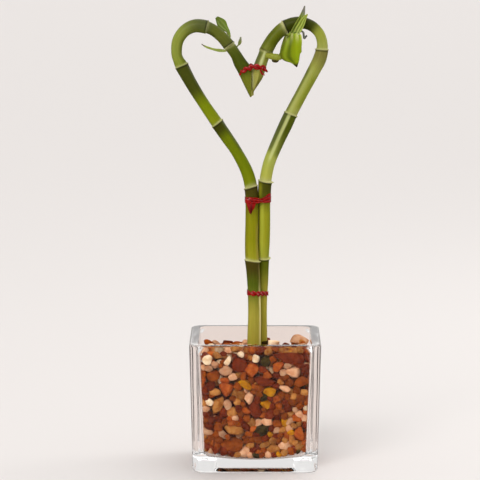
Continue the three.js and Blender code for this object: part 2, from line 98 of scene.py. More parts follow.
def smooth(low: float, high: float, value: Array) -> Array:
    """Smooth step from 0 at low to 1 at high: 3 u² - 2 u³ of the clamped share u."""
    share = np.clip((value - low) / (high - low), 0.0, 1.0)
    return share * share * (3.0 - 2.0 * share)


def mix(a: Array, b: Array, share: Array) -> Array:
    """Straight blend from a to b."""
    return a + (b - a) * share


def unit(vectors: Array) -> Array:
    """Vectors scaled to length 1."""
    return vectors / np.maximum(np.linalg.norm(vectors, axis=-1, keepdims=True), 1e-12)


def dot(a: Array, b: Array) -> Array:
    """Dot products over the last axis."""
    return np.sum(a * b, axis=-1)


def bell(value: Array, width: Array | float) -> Array:
    """Bell curve: exp(-(value / width)²)."""
    return np.exp(-((value / width) ** 2))


def turns(count: int) -> Array:
    """Angles evenly round a circle."""
    return np.linspace(0.0, 2 * math.pi, count, endpoint=False)


def tube_skin(radius: Array, angle: Array, distance: Array) -> Array:
    """Places on a straight copy of a tube, in metres: radius cos angle, radius sin angle, distance."""
    return np.stack([radius * np.cos(angle), radius * np.sin(angle), distance], axis=-1) * MM


# ---- surfaces


@dataclass
class Surface:
    """A surface being worked out."""

    points: Array  # one row per point, in millimetres
    faces: list[Array]  # arrays of corner numbers, each of triangles or of quads
    values: dict[str, Array]  # numbers, vectors or colours per point, by attribute name

    @staticmethod
    def joined(parts: Sequence["Surface"]) -> "Surface":
        """All the given surfaces as one, each part's corner numbers moved past those before it.

        Args:
            parts: Surfaces with the same attributes.

        Returns:
            The joined surface.
        """
        starts = np.cumsum([0] + [len(part.points) for part in parts])
        faces = [face + start for part, start in zip(parts, starts) for face in part.faces]
        names = parts[0].values.keys()
        values = {name: np.concatenate([part.values[name] for part in parts]) for name in names}
        return Surface(np.concatenate([part.points for part in parts]), faces, values)


def grid_faces(rows: int, columns: int) -> Array:
    """Quads of a grid whose last column joins its first, turned to face out of a tube that runs up."""
    row, column = np.meshgrid(np.arange(rows - 1), np.arange(columns), indexing="ij")
    after = (column + 1) % columns
    near, far = row * columns, (row + 1) * columns
    return np.stack([near + column, near + after, far + after, far + column], axis=-1).reshape(-1, 4)


def closed_tube(points: Array, values: dict[str, Array]) -> Surface:
    """A tube of rows with a fan to the middle of its first and last row.

    Args:
        points: Array of rows by columns by 3.
        values: Arrays of rows by columns, by name, with a last axis for vectors and colours.

    Returns:
        The closed surface. A fan's middle is the mean of its row, and so is each of its values.
    """
    rows, columns = points.shape[:2]
    count = rows * columns
    after = (np.arange(columns) + 1) % columns
    first = np.stack([np.full(columns, count), after, np.arange(columns)], axis=-1)
    last_row = count - columns
    last = np.stack([np.full(columns, count + 1), last_row + np.arange(columns), last_row + after], axis=-1)

    def with_middles(array: Array) -> Array:
        """The grid as a list, followed by the means of its first and last row."""
        flat = array.reshape(count, *array.shape[2:])
        return np.concatenate([flat, array[0].mean(axis=0)[None], array[-1].mean(axis=0)[None]])

    faces = [grid_faces(rows, columns), first, last]
    return Surface(with_middles(points), faces, {name: with_middles(array) for name, array in values.items()})


def ball_grid(rows: int = 14, columns: int = 20) -> Array:
    """Grid of a unit ball: polar angle down the rows and turn along the columns.

    Args:
        rows: Rings from bottom to top, the poles left to the fans.
        columns: Points round each ring.

    Returns:
        Array of rows by columns by 3.
    """
    polar = np.linspace(math.pi, 0.0, rows + 2)[1:-1, None]
    turn = turns(columns)[None, :]
    ring = np.sin(polar)
    return np.stack([ring * np.cos(turn), ring * np.sin(turn), np.cos(polar) + 0 * turn], axis=-1)


# ---- lines that tubes and blades follow


class Spline:
    """Centripetal Catmull-Rom curve through points of 3 or more numbers, the first three being a place."""

    SAMPLES = 4000
    REACH = 0.5  # how far before and after a place its direction is measured

    def __init__(self, control: Sequence[Sequence[float]]) -> None:
        """Adds a mirrored point at each end and measures the curve's length.

        Args:
            control: The points that the curve passes through.
        """
        points = np.array(control, float)
        before = 2 * points[:1] - points[1:2]
        after = 2 * points[-1:] - points[-2:-1]
        self.padded = np.concatenate([before, points, after])
        self.spans = len(points) - 1
        self.shares = np.linspace(0.0, 1.0, self.SAMPLES + 1)
        steps = np.linalg.norm(np.diff(self.at_share(self.shares)[:, :3], axis=0), axis=1)
        self.distances = np.concatenate([[0.0], np.cumsum(steps)])
        self.length = float(self.distances[-1])

    def at_share(self, share: Array) -> Array:
        """Points at shares of the curve's own parameter.

        Each span is the cubic with the span's ends and end slopes, where a slope weighs the steps before and
        after it by the fourth root of their squared lengths.

        Args:
            share: Shares from 0 to 1.

        Returns:
            Array of the given shape by the control points' numbers.
        """
        place = np.clip(np.asarray(share) * self.spans, 0.0, self.spans - 1e-9)
        index = place.astype(int)
        w = (place - index)[..., None]
        p0, p1, p2, p3 = (self.padded[index + k] for k in range(4))

        def step(a: Array, b: Array) -> Array:
            """Knot distance between two points."""
            return np.maximum(np.sum((b - a)[..., :3] ** 2, axis=-1) ** 0.25, 1e-4)[..., None]

        d0, d1, d2 = step(p0, p1), step(p1, p2), step(p2, p3)
        m1 = ((p1 - p0) / d0 - (p2 - p0) / (d0 + d1) + (p2 - p1) / d1) * d1
        m2 = ((p2 - p1) / d1 - (p3 - p1) / (d1 + d2) + (p3 - p2) / d2) * d1
        square = (-3 * p1 + 3 * p2 - 2 * m1 - m2) * w**2
        return p1 + m1 * w + square + (2 * p1 - 2 * p2 + m1 + m2) * w**3

    def at_distance(self, distance: Array) -> Array:
        """Points at distances along the curve."""
        return self.at_share(np.interp(distance, self.distances, self.shares))

    def direction(self, distance: Array) -> Array:
        """Unit tangents at distances: the step from a little before to a little after."""
        low = np.clip(distance - self.REACH, 0.0, self.length)
        high = np.clip(distance + self.REACH, 0.0, self.length)
        return unit((self.at_distance(high) - self.at_distance(low))[..., :3])

    def nearest(self, x: float, z: float) -> float:
        """Distance along the curve of its point nearest to x and z."""
        points = self.at_share(self.shares)
        gaps = np.hypot(points[:, 0] - x, points[:, 2] - z)
        return float(self.distances[np.argmin(gaps)])


def round_section(line: Spline, distance: Array, angle: Array, radius: Array) -> Array:
    """Points of a round tube: middle + radius (cos angle side + sin angle up).

    Side is the y axis made square to the line, and up is side crossed with the line's direction.

    Args:
        line: The tube's middle.
        distance: Distance along the line of each point.
        angle: Turn round the line of each point.
        radius: Radius at each point.

    Returns:
        Array of the given shape by 3.
    """
    middle = line.at_distance(distance)[..., :3]
    along = line.direction(distance)
    across = np.array([0.0, 1.0, 0.0])
    side = unit(across - along * dot(along, across)[..., None])
    up = np.cross(side, along)
    turned = np.cos(angle)[..., None] * side + np.sin(angle)[..., None] * up
    return middle + radius[..., None] * turned


# ---- making objects


def linked(name: str, data: bpy.types.ID) -> bpy.types.Object:
    """A new object in the scene."""
    body = bpy.data.objects.new(name, data)
    bpy.context.scene.collection.objects.link(body)
    return body


@dataclass(frozen=True)
class Home:
    """Where the plant stands in the frame, in metres: the middle of the vase's foot."""

    foot: Point

    def place(self, points: Array) -> Array:
        """Millimetres from the vase's foot as metres in the frame."""
        return points * MM + np.array(self.foot)

    def add(
        self, name: str, surface: Surface, finish: Material, stands_for: str, slot: str
    ) -> None:
        """Makes an object of a surface, places it and tells the frame what it is.

        Args:
            name: The piece's name.
            surface: Its points, faces and values.
            finish: Its material.
            stands_for: The solid that it replaces.
            slot: The material slot that its finish stands for; not used.
        """
        mesh = bpy.data.meshes.new(name)
        mesh.vertices.add(len(surface.points))
        mesh.vertices.foreach_set("co", self.place(surface.points).astype(np.float32).ravel())
        sizes = np.concatenate([np.full(len(face), face.shape[1]) for face in surface.faces])
        corners = np.concatenate([face.ravel() for face in surface.faces])
        mesh.loops.add(len(corners))
        mesh.loops.foreach_set("vertex_index", corners.astype(np.int32))
        mesh.polygons.add(len(sizes))
        mesh.polygons.foreach_set("loop_start", np.concatenate([[0], np.cumsum(sizes)[:-1]]).astype(np.int32))
        for key, values in surface.values.items():
            kind, item = ATTRIBUTES[values.size // len(values)]
            mesh.attributes.new(key, kind, "POINT").data.foreach_set(item, values.astype(np.float32).ravel())
        mesh.update(calc_edges=True)
        mesh.validate()
        mesh.shade_smooth()
        mesh.set_sharp_from_angle(angle=math.radians(SHARP_ANGLE))
        mesh.materials.append(finish)
        piece = linked(name, mesh)
        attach(piece, BODY)
        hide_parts(stands_for)
        log.info("%s: %d points, %d faces", name, len(mesh.vertices), len(mesh.polygons))


# ---- shader tools


class Graph:
    """A node tree that is being filled in."""

    def __init__(self, tree: Tree) -> None:
        """Keeps the tree to add nodes to."""
        self.tree = tree

    def add(
        self, kind: str, inputs: dict[str | int, Input] | None = None, **settings: object
    ) -> Node:
        """A new node with its settings and inputs; a socket given as an input is linked.

        Args:
            kind: The node's type.
            inputs: Values or sockets by input name or number.
            settings: The node's own settings.

        Returns:
            The node.
        """
        node = self.tree.nodes.new(kind)
        for key, value in settings.items():
            setattr(node, key, value)
        for key, value in (inputs or {}).items():
            if isinstance(value, Socket):
                self.tree.links.new(value, node.inputs[key])
            else:
                node.inputs[key].default_value = value
        return node

    def maths(self, operation: str, *values: Input, clamp: bool = False) -> Socket:
        """Result of a maths node."""
        inputs = dict(enumerate(values))
        return self.add("ShaderNodeMath", inputs, operation=operation, use_clamp=clamp).outputs[0]

    def blend(self, share: Input, a: Input, b: Input, blend_type: str = "MIX") -> Socket:
        """Two colours mixed by a share."""
        inputs = {0: share, 6: a, 7: b}
        return self.add("ShaderNodeMix", inputs, data_type="RGBA", blend_type=blend_type).outputs[2]

    def spread(
        self, value: Input, low: float, high: float, to_low: float, to_high: float
    ) -> Socket:
        """A value's range spread smoothly to another range."""
        inputs = {"Value": value, "From Min": low, "From Max": high, "To Min": to_low, "To Max": to_high}
        return self.add("ShaderNodeMapRange", inputs, interpolation_type="SMOOTHSTEP").outputs[0]

    def attribute(self, name: str, output: str) -> Socket:
        """A value that the mesh carries."""
        return self.add("ShaderNodeAttribute", attribute_name=name).outputs[output]

    def noise(self, vector: Input, scale: Input, detail: float, roughness: float) -> Socket:
        """Values of a noise."""
        inputs = {"Vector": vector, "Scale": scale, "Detail": detail, "Roughness": roughness}
        return self.add("ShaderNodeTexNoise", inputs).outputs[0]

    def group(self, tree: Tree, inputs: dict[str, Input]) -> Node:
        """A shared group with this material's own values."""
        return self.add("ShaderNodeGroup", inputs, node_tree=tree)

    def bump(self, height: Input, strength: float, distance: float) -> Socket:
        """A normal bent by a height, with its depth in metres."""
        inputs = {"Height": height, "Strength": strength, "Distance": distance}
        return self.add("ShaderNodeBump", inputs).outputs[0]

    def ray_kinds(self) -> tuple[Socket, Socket]:
        """Whether a ray has come through glass, and whether it was mirrored by a surface."""
        path = self.add("ShaderNodeLightPath")
        through = path.outputs["Is Transmission Ray"]
        return through, self.maths("SUBTRACT", path.outputs["Is Glossy Ray"], through, clamp=True)


class GroupGraph(Graph):
    """The nodes of a new shader group with named sockets."""

    def __init__(self, name: str, inputs: dict[str, str], outputs: dict[str, str]) -> None:
        """Makes the group and its input node.

        Args:
            name: The group's name.
            inputs: Socket type by name.
            outputs: Socket type by name.
        """
        super().__init__(bpy.data.node_groups.new(name, "ShaderNodeTree"))
        for direction, sockets in (("INPUT", inputs), ("OUTPUT", outputs)):
            for key, kind in sockets.items():
                self.tree.interface.new_socket(key, in_out=direction, socket_type=f"NodeSocket{kind}")
        self.source = self.add("NodeGroupInput").outputs

    def ended(self, results: dict[str, Socket]) -> Tree:
        """The group, its results linked to its outputs."""
        self.add("NodeGroupOutput", results)
        return self.tree


class MaterialGraph(Graph):
    """The nodes of a new material, of which the output comes first."""

    def __init__(self, name: str) -> None:
        """Makes the material.

        Args:
            name: The material's name.
        """
        self.material = bpy.data.materials.new(name)
        self.material.use_nodes = True
        super().__init__(self.material.node_tree)
        self.tree.nodes.clear()
        self.output = self.add("ShaderNodeOutputMaterial")

    def ended(self, shader: Node) -> Material:
        """The material, its last shader linked to its output."""
        self.tree.links.new(shader.outputs[0], self.output.inputs[0])
        return self.material

    def principled(self, inputs: dict[str, Input]) -> Material:
        """The material, ended with a Principled shader."""
        return self.ended(self.add("ShaderNodeBsdfPrincipled", inputs))


@dataclass(frozen=True)
class SharedEffects:
    """Shader groups that more than one finish uses."""

    streaks: Tree
    mottle: Tree

    @classmethod
    def build(cls) -> "SharedEffects":
        """Builds both groups."""
        return cls(cls._streaks(), cls._mottle())

    @staticmethod
    def _streaks() -> Tree:
        """Fibres: noise on a vector that is squeezed along its third axis, as a mask and as a height."""
        sockets = {"Vector": "Vector", "Across": "Float", "Along": "Float"}
        graph = GroupGraph("fibre_streaks", sockets, {"Mask": "Float", "Height": "Float"})
        vector, across, along = (graph.source[key] for key in sockets)
        scale = graph.add("ShaderNodeCombineXYZ", {0: across, 1: across, 2: along}).outputs[0]
        place = graph.add("ShaderNodeVectorMath", {0: vector, 1: scale}, operation="MULTIPLY").outputs[0]
        broad = graph.noise(place, 1.0, 3.0, 0.6)
        fine = graph.noise(place, 4.0, 2.0, 0.5)
        return graph.ended({"Mask": graph.spread(broad, 0.32, 0.7, 0.0, 1.0), "Height": fine})

    @staticmethod
    def _mottle() -> Tree:
        """Blotches and grain: noise at a size, and at eight times finer, as two masks."""
        sockets = {"Vector": "Vector", "Size": "Float", "Contrast": "Float"}
        graph = GroupGraph("mottle", sockets, {"Blotch": "Float", "Grain": "Float"})
        vector, size, contrast = (graph.source[key] for key in sockets)
        blotch = graph.noise(vector, size, 4.0, 0.55)
        grain = graph.noise(vector, graph.maths("MULTIPLY", size, 8.0), 2.0, 0.5)
        centred = graph.maths("SUBTRACT", blotch, 0.5)
        stretched = graph.maths("MULTIPLY_ADD", centred, contrast, 0.5, clamp=True)
        return graph.ended({"Blotch": stretched, "Grain": grain})


# ---- finishes


@dataclass(frozen=True)
class LivingFinish:
    """A living skin, here a leaf's: its own tone, darker along its veins and lighter in blotches."""

    effects: SharedEffects
    name: str
    across: float = 1500.0  # how fine the veins or fibres are across, per metre
    along: float = 18.0  # and along
    size: float = 160.0  # how fine the blotches are, per metre
    contrast: float = 1.6  # how sharply they stand out
    dark: Colour = (0.66, 0.72, 0.5, 1.0)  # by which the tone is multiplied in the veins
    light: Colour = (1.25, 1.2, 1.3, 1.0)  # and in the blotches
    vein_share: float = 0.4  # how much of them shows
    blotch_share: float = 0.4
    relief: float = 0.4
    grain_relief: float = 0.0  # height of the grain, by that of the veins
    roughness: float = 0.36  # where it is smoothest
    coat: float = 0.04
    specular: float = 0.1
    soak: float = 0.1  # how much light enters the skin
    soak_depth: float = 0.001

    def marked(self, graph: Graph, colour: Socket) -> Socket:
        """The colour with marks of its own, of which a leaf has none."""
        return colour

    def build(self) -> Material:
        """Builds the material from the attributes tone and skin; skin runs across, 0, and along the blade."""
        graph = MaterialGraph(self.name)
        skin = graph.attribute("skin", "Vector")
        fineness = {"Across": self.across, "Along": self.along}
        veins = graph.group(self.effects.streaks, {"Vector": skin, **fineness}).outputs
        blotches = {"Size": self.size, "Contrast": self.contrast}
        mottle = graph.group(self.effects.mottle, {"Vector": skin, **blotches}).outputs
        tone = graph.attribute("tone", "Color")
        dark = graph.blend(1.0, tone, self.dark, "MULTIPLY")
        light = graph.blend(1.0, tone, self.light, "MULTIPLY")
        veined = graph.blend(graph.maths("MULTIPLY", veins["Mask"], self.vein_share), tone, dark)
        colour = graph.blend(graph.maths("MULTIPLY", mottle["Blotch"], self.blotch_share), veined, light)
        height = veins["Height"]
        if self.grain_relief:
            height = graph.maths("ADD", height, graph.maths("MULTIPLY", mottle["Grain"], self.grain_relief))
        inputs = {
            "Base Color": self.marked(graph, colour),
            "Roughness": graph.spread(mottle["Grain"], 0.3, 0.7, self.roughness, self.roughness + 0.12),
            "Normal": graph.bump(height, self.relief, 0.00008),
            "Coat Weight": self.coat,
            "Coat Roughness": 0.25,
            "Specular IOR Level": self.specular,
            "Subsurface Weight": self.soak,
            "Subsurface Scale": self.soak_depth,
        }
        return graph.principled(inputs)


@dataclass(frozen=True)
class StalkFinish(LivingFinish):
    """A waxy stalk's skin, with fibres along it, pale node rings, a painted highlight along the cut's edge
    and pale cut faces.
    """

    name: str = "bamboo_stalk"
    across: float = 900.0
    along: float = 28.0
    size: float = 110.0
    contrast: float = 1.8
    dark: Colour = (0.64, 0.7, 0.5, 1.0)
    light: Colour = (1.2, 1.18, 1.05, 1.0)
    vein_share: float = 0.5
    blotch_share: float = 0.45
    relief: float = 0.35
    grain_relief: float = 0.3
    roughness: float = 0.3
    coat: float = 0.03
    specular: float = 0.06
    soak: float = 0.06
    soak_depth: float = 0.0015
    # pale colour of the node rings, and of the painted highlight along the cut's edge
    ring: str = "bdbb80"
    cut: str = "9a9648"

    def marked(self, graph: Graph, colour: Socket) -> Socket:
        """The colour, paler on the rings and the cut by the attributes ring and cut; ring also holds the
        painted highlight along the cut's edge.
        """
        ringed = graph.blend(graph.attribute("ring", "Fac"), colour, linear(self.ring))
        return graph.blend(graph.attribute("cut", "Fac"), ringed, linear(self.cut))


@dataclass(frozen=True)
class TieFinish:
    """Glossy red ribbon: deep red with finer lines along it, and painted shade in its folds and creases."""

    effects: SharedEffects
    red: str = "a20a06"
    # darker red of the fine lines, also laid in as painted shade in the folds and creases
    deep: str = "4a0202"

    def build(self) -> Material:
        """Builds the material from the attribute skin and the painted shade of the folds and creases."""
        graph = MaterialGraph("red_tie")
        red, deep = linear(self.red), linear(self.deep)
        skin = graph.attribute("skin", "Vector")
        lines = graph.group(self.effects.streaks, {"Vector": skin, "Across": 1600.0, "Along": 90.0})
        lined = graph.blend(graph.maths("MULTIPLY", lines.outputs["Mask"], 0.45), red, deep)
        inputs = {
            # Painted shade: the darker red laid into the folds and creases.
            "Base Color": graph.blend(graph.attribute("fold", "Fac"), lined, deep),
            "Roughness": graph.spread(lines.outputs["Height"], 0.3, 0.7, 0.16, 0.32),
            "Normal": graph.bump(lines.outputs["Height"], 0.5, 0.0001),
            "Coat Weight": 0.12,
            "Coat Roughness": 0.15,
            "Specular IOR Level": 0.18,
        }
        return graph.principled(inputs)


@dataclass(frozen=True)
class StoneFinish:
    """Water-worn gravel: two colours in blotches, shifted for each stone, with a fine grain."""

    effects: SharedEffects
    name: str
    low: str
    high: str

    def build(self) -> Material:
        """Builds the material from the attributes skin and tint."""
        graph = MaterialGraph(self.name)
        skin = graph.attribute("skin", "Vector")
        mottle = graph.group(self.effects.mottle, {"Vector": skin, "Size": 300.0, "Contrast": 3.4})
        grain = mottle.outputs["Grain"]
        shades = {
            "Color": graph.blend(mottle.outputs["Blotch"], linear(self.low), linear(self.high)),
            "Value": graph.spread(graph.attribute("tint", "Fac"), 0.0, 1.0, 0.75, 1.22),
            "Hue": graph.spread(grain, 0.3, 0.7, 0.488, 0.512),
        }
        inputs = {
            "Base Color": graph.add("ShaderNodeHueSaturation", shades).outputs[0],
            "Roughness": graph.spread(grain, 0.3, 0.7, 0.5, 0.7),
            "Normal": graph.bump(grain, 0.35, 0.0001),
            "Specular IOR Level": 0.03,
        }
        return graph.principled(inputs)


@dataclass(frozen=True)
class GlassFinish:
    """Clear polished glass that lets the light through to what stands in it."""

    tint: Colour = (0.985, 0.99, 0.988, 1.0)
    shade: Colour = (0.95, 0.955, 0.955, 1.0)  # what it leaves of the light in its shadow
    mirror: Colour = (0.35, 0.35, 0.35, 1.0)  # how much of the light that meets it squarely it mirrors

    def build(self) -> Material:
        """Builds the material: refracting for the eye, and a faint filter for shadows and diffuse light."""
        graph = MaterialGraph("clear_glass")
        inputs = {"Base Color": self.tint, "Roughness": 0.0, "IOR": 1.5, "Transmission Weight": 1.0}
        glass = graph.add("ShaderNodeBsdfPrincipled", {**inputs, "Specular Tint": self.mirror})
        clear = graph.add("ShaderNodeBsdfTransparent", {0: self.shade})
        path = graph.add("ShaderNodeLightPath")
        passes = graph.maths("MAXIMUM", path.outputs["Is Shadow Ray"], path.outputs["Is Diffuse Ray"])
        shaders = {0: passes, 1: glass.outputs[0], 2: clear.outputs[0]}
        return graph.ended(graph.add("ShaderNodeMixShader", shaders))


# ---- vase


@dataclass(frozen=True)
class Vase:
    """Pressed-glass cube: rows of half-widths and heights carried round a square with round corners.

    Inside, the upright corners are sharper than outside. The heel, where the floor bends up into the wall, is
    small in the middle of each side and larger towards the corners.
    """

    half: float = 49.6
    foot_half: float = 47.2
    height: float = 98.0
    corner: float = 0.18  # outer corner radius as a share of the half-width
    inner_corner: float = 1.6
    corner_steps: int = 12
    side_steps: int = 22
    rim_inner: float = 42.5
    rim_round: float = 1.5
    foot_round: float = 2.5
    floor_half: float = 39.5
    taper_start: float = 20.0  # height above which the inner wall widens
    floor_height: float = 9.8
    heel: tuple[float, float] = (1.6, 6.5)  # radius at the middle of a side and at its corners
    dish: tuple[float, float] = (-0.2, 2.4)  # rise of the floor's edge there
    recess_half: float = 31.5
    recess_depth: float = 2.2
    recess_slope: float = 2.0
    wave: float = 0.05  # unevenness of the pressed inner wall

    def wall(self, z: Array) -> Array:
        """Inner half-width of the wall at a height: constant at the heel, then widening to the rim."""
        top = self.height - self.rim_round
        share = np.clip((z - self.taper_start) / (top - self.taper_start), 0.0, 1.0)
        return mix(self.floor_half, self.rim_inner, share)

    def reach(self, points: Array) -> Array:
        """Half-width of the square with round inner corners that passes through each point.

        With p and q the distances from the two middle planes and c the corner's radius, it is the larger of
        the two, or (p + q - sqrt(2 c² - (p - q)²)) / 2 + c where they differ by less than c.
        """
        p, q, corner = np.abs(points[..., 0]), np.abs(points[..., 1]), self.inner_corner
        root = np.sqrt(np.maximum(2 * corner**2 - (p - q) ** 2, 0.0))
        return np.where(np.abs(p - q) < corner, (p + q - root) / 2 + corner, np.maximum(p, q))

    def outward(self, points: Array) -> Array:
        """Direction in which the reach grows: out from the corner's middle, or square to the nearer wall."""
        inner = self.reach(points)[..., None] - self.inner_corner
        past = np.clip(np.abs(points[..., :2]) - inner, 0.0, None)
        return unit(past * np.sign(points[..., :2]) + 1e-9)

    def bend(self, aside: Array) -> tuple[Array, Array]:
        """Heel radius and rise of the floor's edge: both grow with the square of the way to a corner."""
        share = np.clip(aside / (self.floor_half - self.inner_corner), 0.0, 1.0) ** 2
        return mix(*self.heel, share), mix(*self.dish, share)

    def floor(self, reach: Array, aside: Array) -> Array:
        """Height of the floor: a shallow dish, and near the wall a quarter round of the heel's radius."""
        heel, rise = self.bend(aside)
        inward = np.clip(heel - (self.floor_half - reach), 0.0, heel)
        return self.floor_height + rise * (reach / self.floor_half) ** 2 + heel - np.sqrt(heel**2 - inward**2)

    def floor_under(self, points: Array) -> Array:
        """Height of the floor under points inside the vase."""
        reach = np.minimum(self.reach(points), self.floor_half)
        return self.floor(reach, np.abs(points[..., :2]).min(axis=-1))

    def ring(self) -> tuple[Array, Array]:
        """Points round the square, anticlockwise from the right: a round corner, then a side, four times.

        Returns:
            Direction of each point from its corner's middle, and that middle in a square of half-width 1.
        """
        angles = np.linspace(0.0, math.pi / 2, self.corner_steps)
        arc = np.stack([np.cos(angles), np.sin(angles)], axis=1)
        shares = np.linspace(1.0, -1.0, self.side_steps + 1)[1:-1]
        directions = np.concatenate([arc, np.stack([0 * shares, 1 + 0 * shares], axis=1)])
        middles = np.concatenate([np.ones_like(arc), np.stack([shares, 1 + 0 * shares], axis=1)])
        quarters = [np.linalg.matrix_power([[0, 1], [-1, 0]], number) for number in range(4)]
        return tuple(
            np.concatenate([side @ quarter for quarter in quarters]) for side in (directions, middles)
        )

    def around(self, half: Array, corner: Array, height: Array) -> Array:
        """Points of rows: (half - corner) times the ring's middles, plus corner times its directions.

        Args:
            half: Half-widths, rows by columns.
            corner: Corner radii.
            height: Heights.

        Returns:
            Array of rows by columns by 3.
        """
        direction, middle = self.ring()
        flat = (half - corner)[..., None] * middle + corner[..., None] * direction
        return np.concatenate([flat, height[..., None]], axis=-1)

    def outside(self) -> Array:
        """Half-widths and heights from the middle of the recess, out and up, to the top of the rim."""

        def arc(x: float, z: float, radius: float, start: float, end: float, steps: int) -> list[list[float]]:
            """Points of an arc between two angles in degrees."""
            angles = np.radians(np.linspace(start, end, steps))
            return [[x + radius * math.cos(a), z + radius * math.sin(a)] for a in angles]

        edge, depth = self.recess_half, self.recess_depth
        rows = [[x, depth] for x in np.linspace(2.0, edge - self.recess_slope - 1.0, 8)]
        rows += [[edge - self.recess_slope, depth * 0.96], [edge - 0.5, 0.35], [edge + 0.4, 0.0]]
        rows += [[self.foot_half - self.foot_round - 1.0, 0.0]]
        rows += arc(self.foot_half - self.foot_round, self.foot_round, self.foot_round, -90, 0, 7)
        top = self.height - self.rim_round
        for share in np.linspace(0.08, 0.98, 14):
            rows.append([mix(self.foot_half, self.half, share), mix(self.foot_round, top, share)])
        return np.array(rows + arc(self.half - self.rim_round, top, self.rim_round, 0, 90, 6))

    def inside(self) -> tuple[Array, Array]:
        """Half-widths and heights of the inner rows: over the rim, down, round the heel and across."""
        _, middle = self.ring()
        share = np.abs(middle).min(axis=1)[None, :]
        heel, rise = self.bend(share * (self.floor_half - self.inner_corner))
        top = self.height - self.rim_round
        turn = np.radians(np.linspace(90, 180, 6))[:, None]
        rim = self.rim_inner + self.rim_round * (1 + np.cos(turn)) + 0 * share
        down = np.linspace(0.03, 1.0, 30)[:, None]
        z = mix(top, self.floor_height + rise + heel, down)
        fade = smooth(0.0, 0.1, down) * smooth(1.0, 0.85, down)
        wall = self.wall(z) + self.wave * fade * np.sin(z / 8.5) * np.cos(4 * share + z / 30)
        bend = np.radians(np.linspace(6, 90, 15))[:, None]
        curved = self.floor_half - heel * (1 - np.cos(bend))
        across = curved[-1:] * np.linspace(0.94, 0.06, 12)[:, None]
        low = np.concatenate([curved, across])
        half = np.concatenate([rim, wall, low])
        floor = self.floor(low, share * (low - self.inner_corner))
        return half, np.concatenate([top + self.rim_round * np.sin(turn) + 0 * share, z, floor])

    def surface(self) -> Surface:
        """Outer rows, then inner rows, closed at the middle of the recess and of the floor.

        The corner's radius turns from the outer one to the inner one just below the rim.
        """
        rows = self.outside()
        columns = np.ones((1, len(self.ring()[0])))
        outer = self.around(rows[:, :1] * columns, self.corner * rows[:, :1] * columns, rows[:, 1:] * columns)
        half, height = self.inside()
        sharp = np.minimum(self.inner_corner, 0.3 * half)
        corner = mix(sharp, self.corner * half, smooth(self.height - 6.0, self.height, height))
        return closed_tube(np.concatenate([outer, self.around(half, corner, height)]), {})


# ---- pebbles


class StoneKind(Enum):
    """The gravel's colours: two mottled shades, and how common each is."""

    DARK_RED = ("5e1c04", "7a2c0a", 0.21)
    BROWN = ("763004", "98480e", 0.35)
    ORANGE = ("983c0c", "b85c20", 0.09)
    TAN = ("98541c", "bc7e40", 0.19)
    AMBER = ("a05a00", "c48408", 0.03)
    PINK = ("c4845c", "dcaa84", 0.09)
    CREAM = ("dcb488", "f0d8b8", 0.03)
    OLIVE = ("2c1e04", "4a3a14", 0.01)

    @property
    def slug(self) -> str:
        """Name of the kind's piece and material."""
        return f"pebbles_{self.name.lower()}"

    @property
    def chosen_tint(self) -> float:
        """How light the chosen stones of this kind are."""
        return 0.9 if self in (StoneKind.PINK, StoneKind.CREAM) else 0.55


@dataclass(frozen=True)
class FrontStone:
    """A stone that stands out against the front glass."""

    x: float  # place across
    z: float  # height
    wide: float  # half length
    tall: float  # half height
    lean: float  # turn in the plane of the glass, in degrees, anticlockwise from the front
    kind: StoneKind  # colour


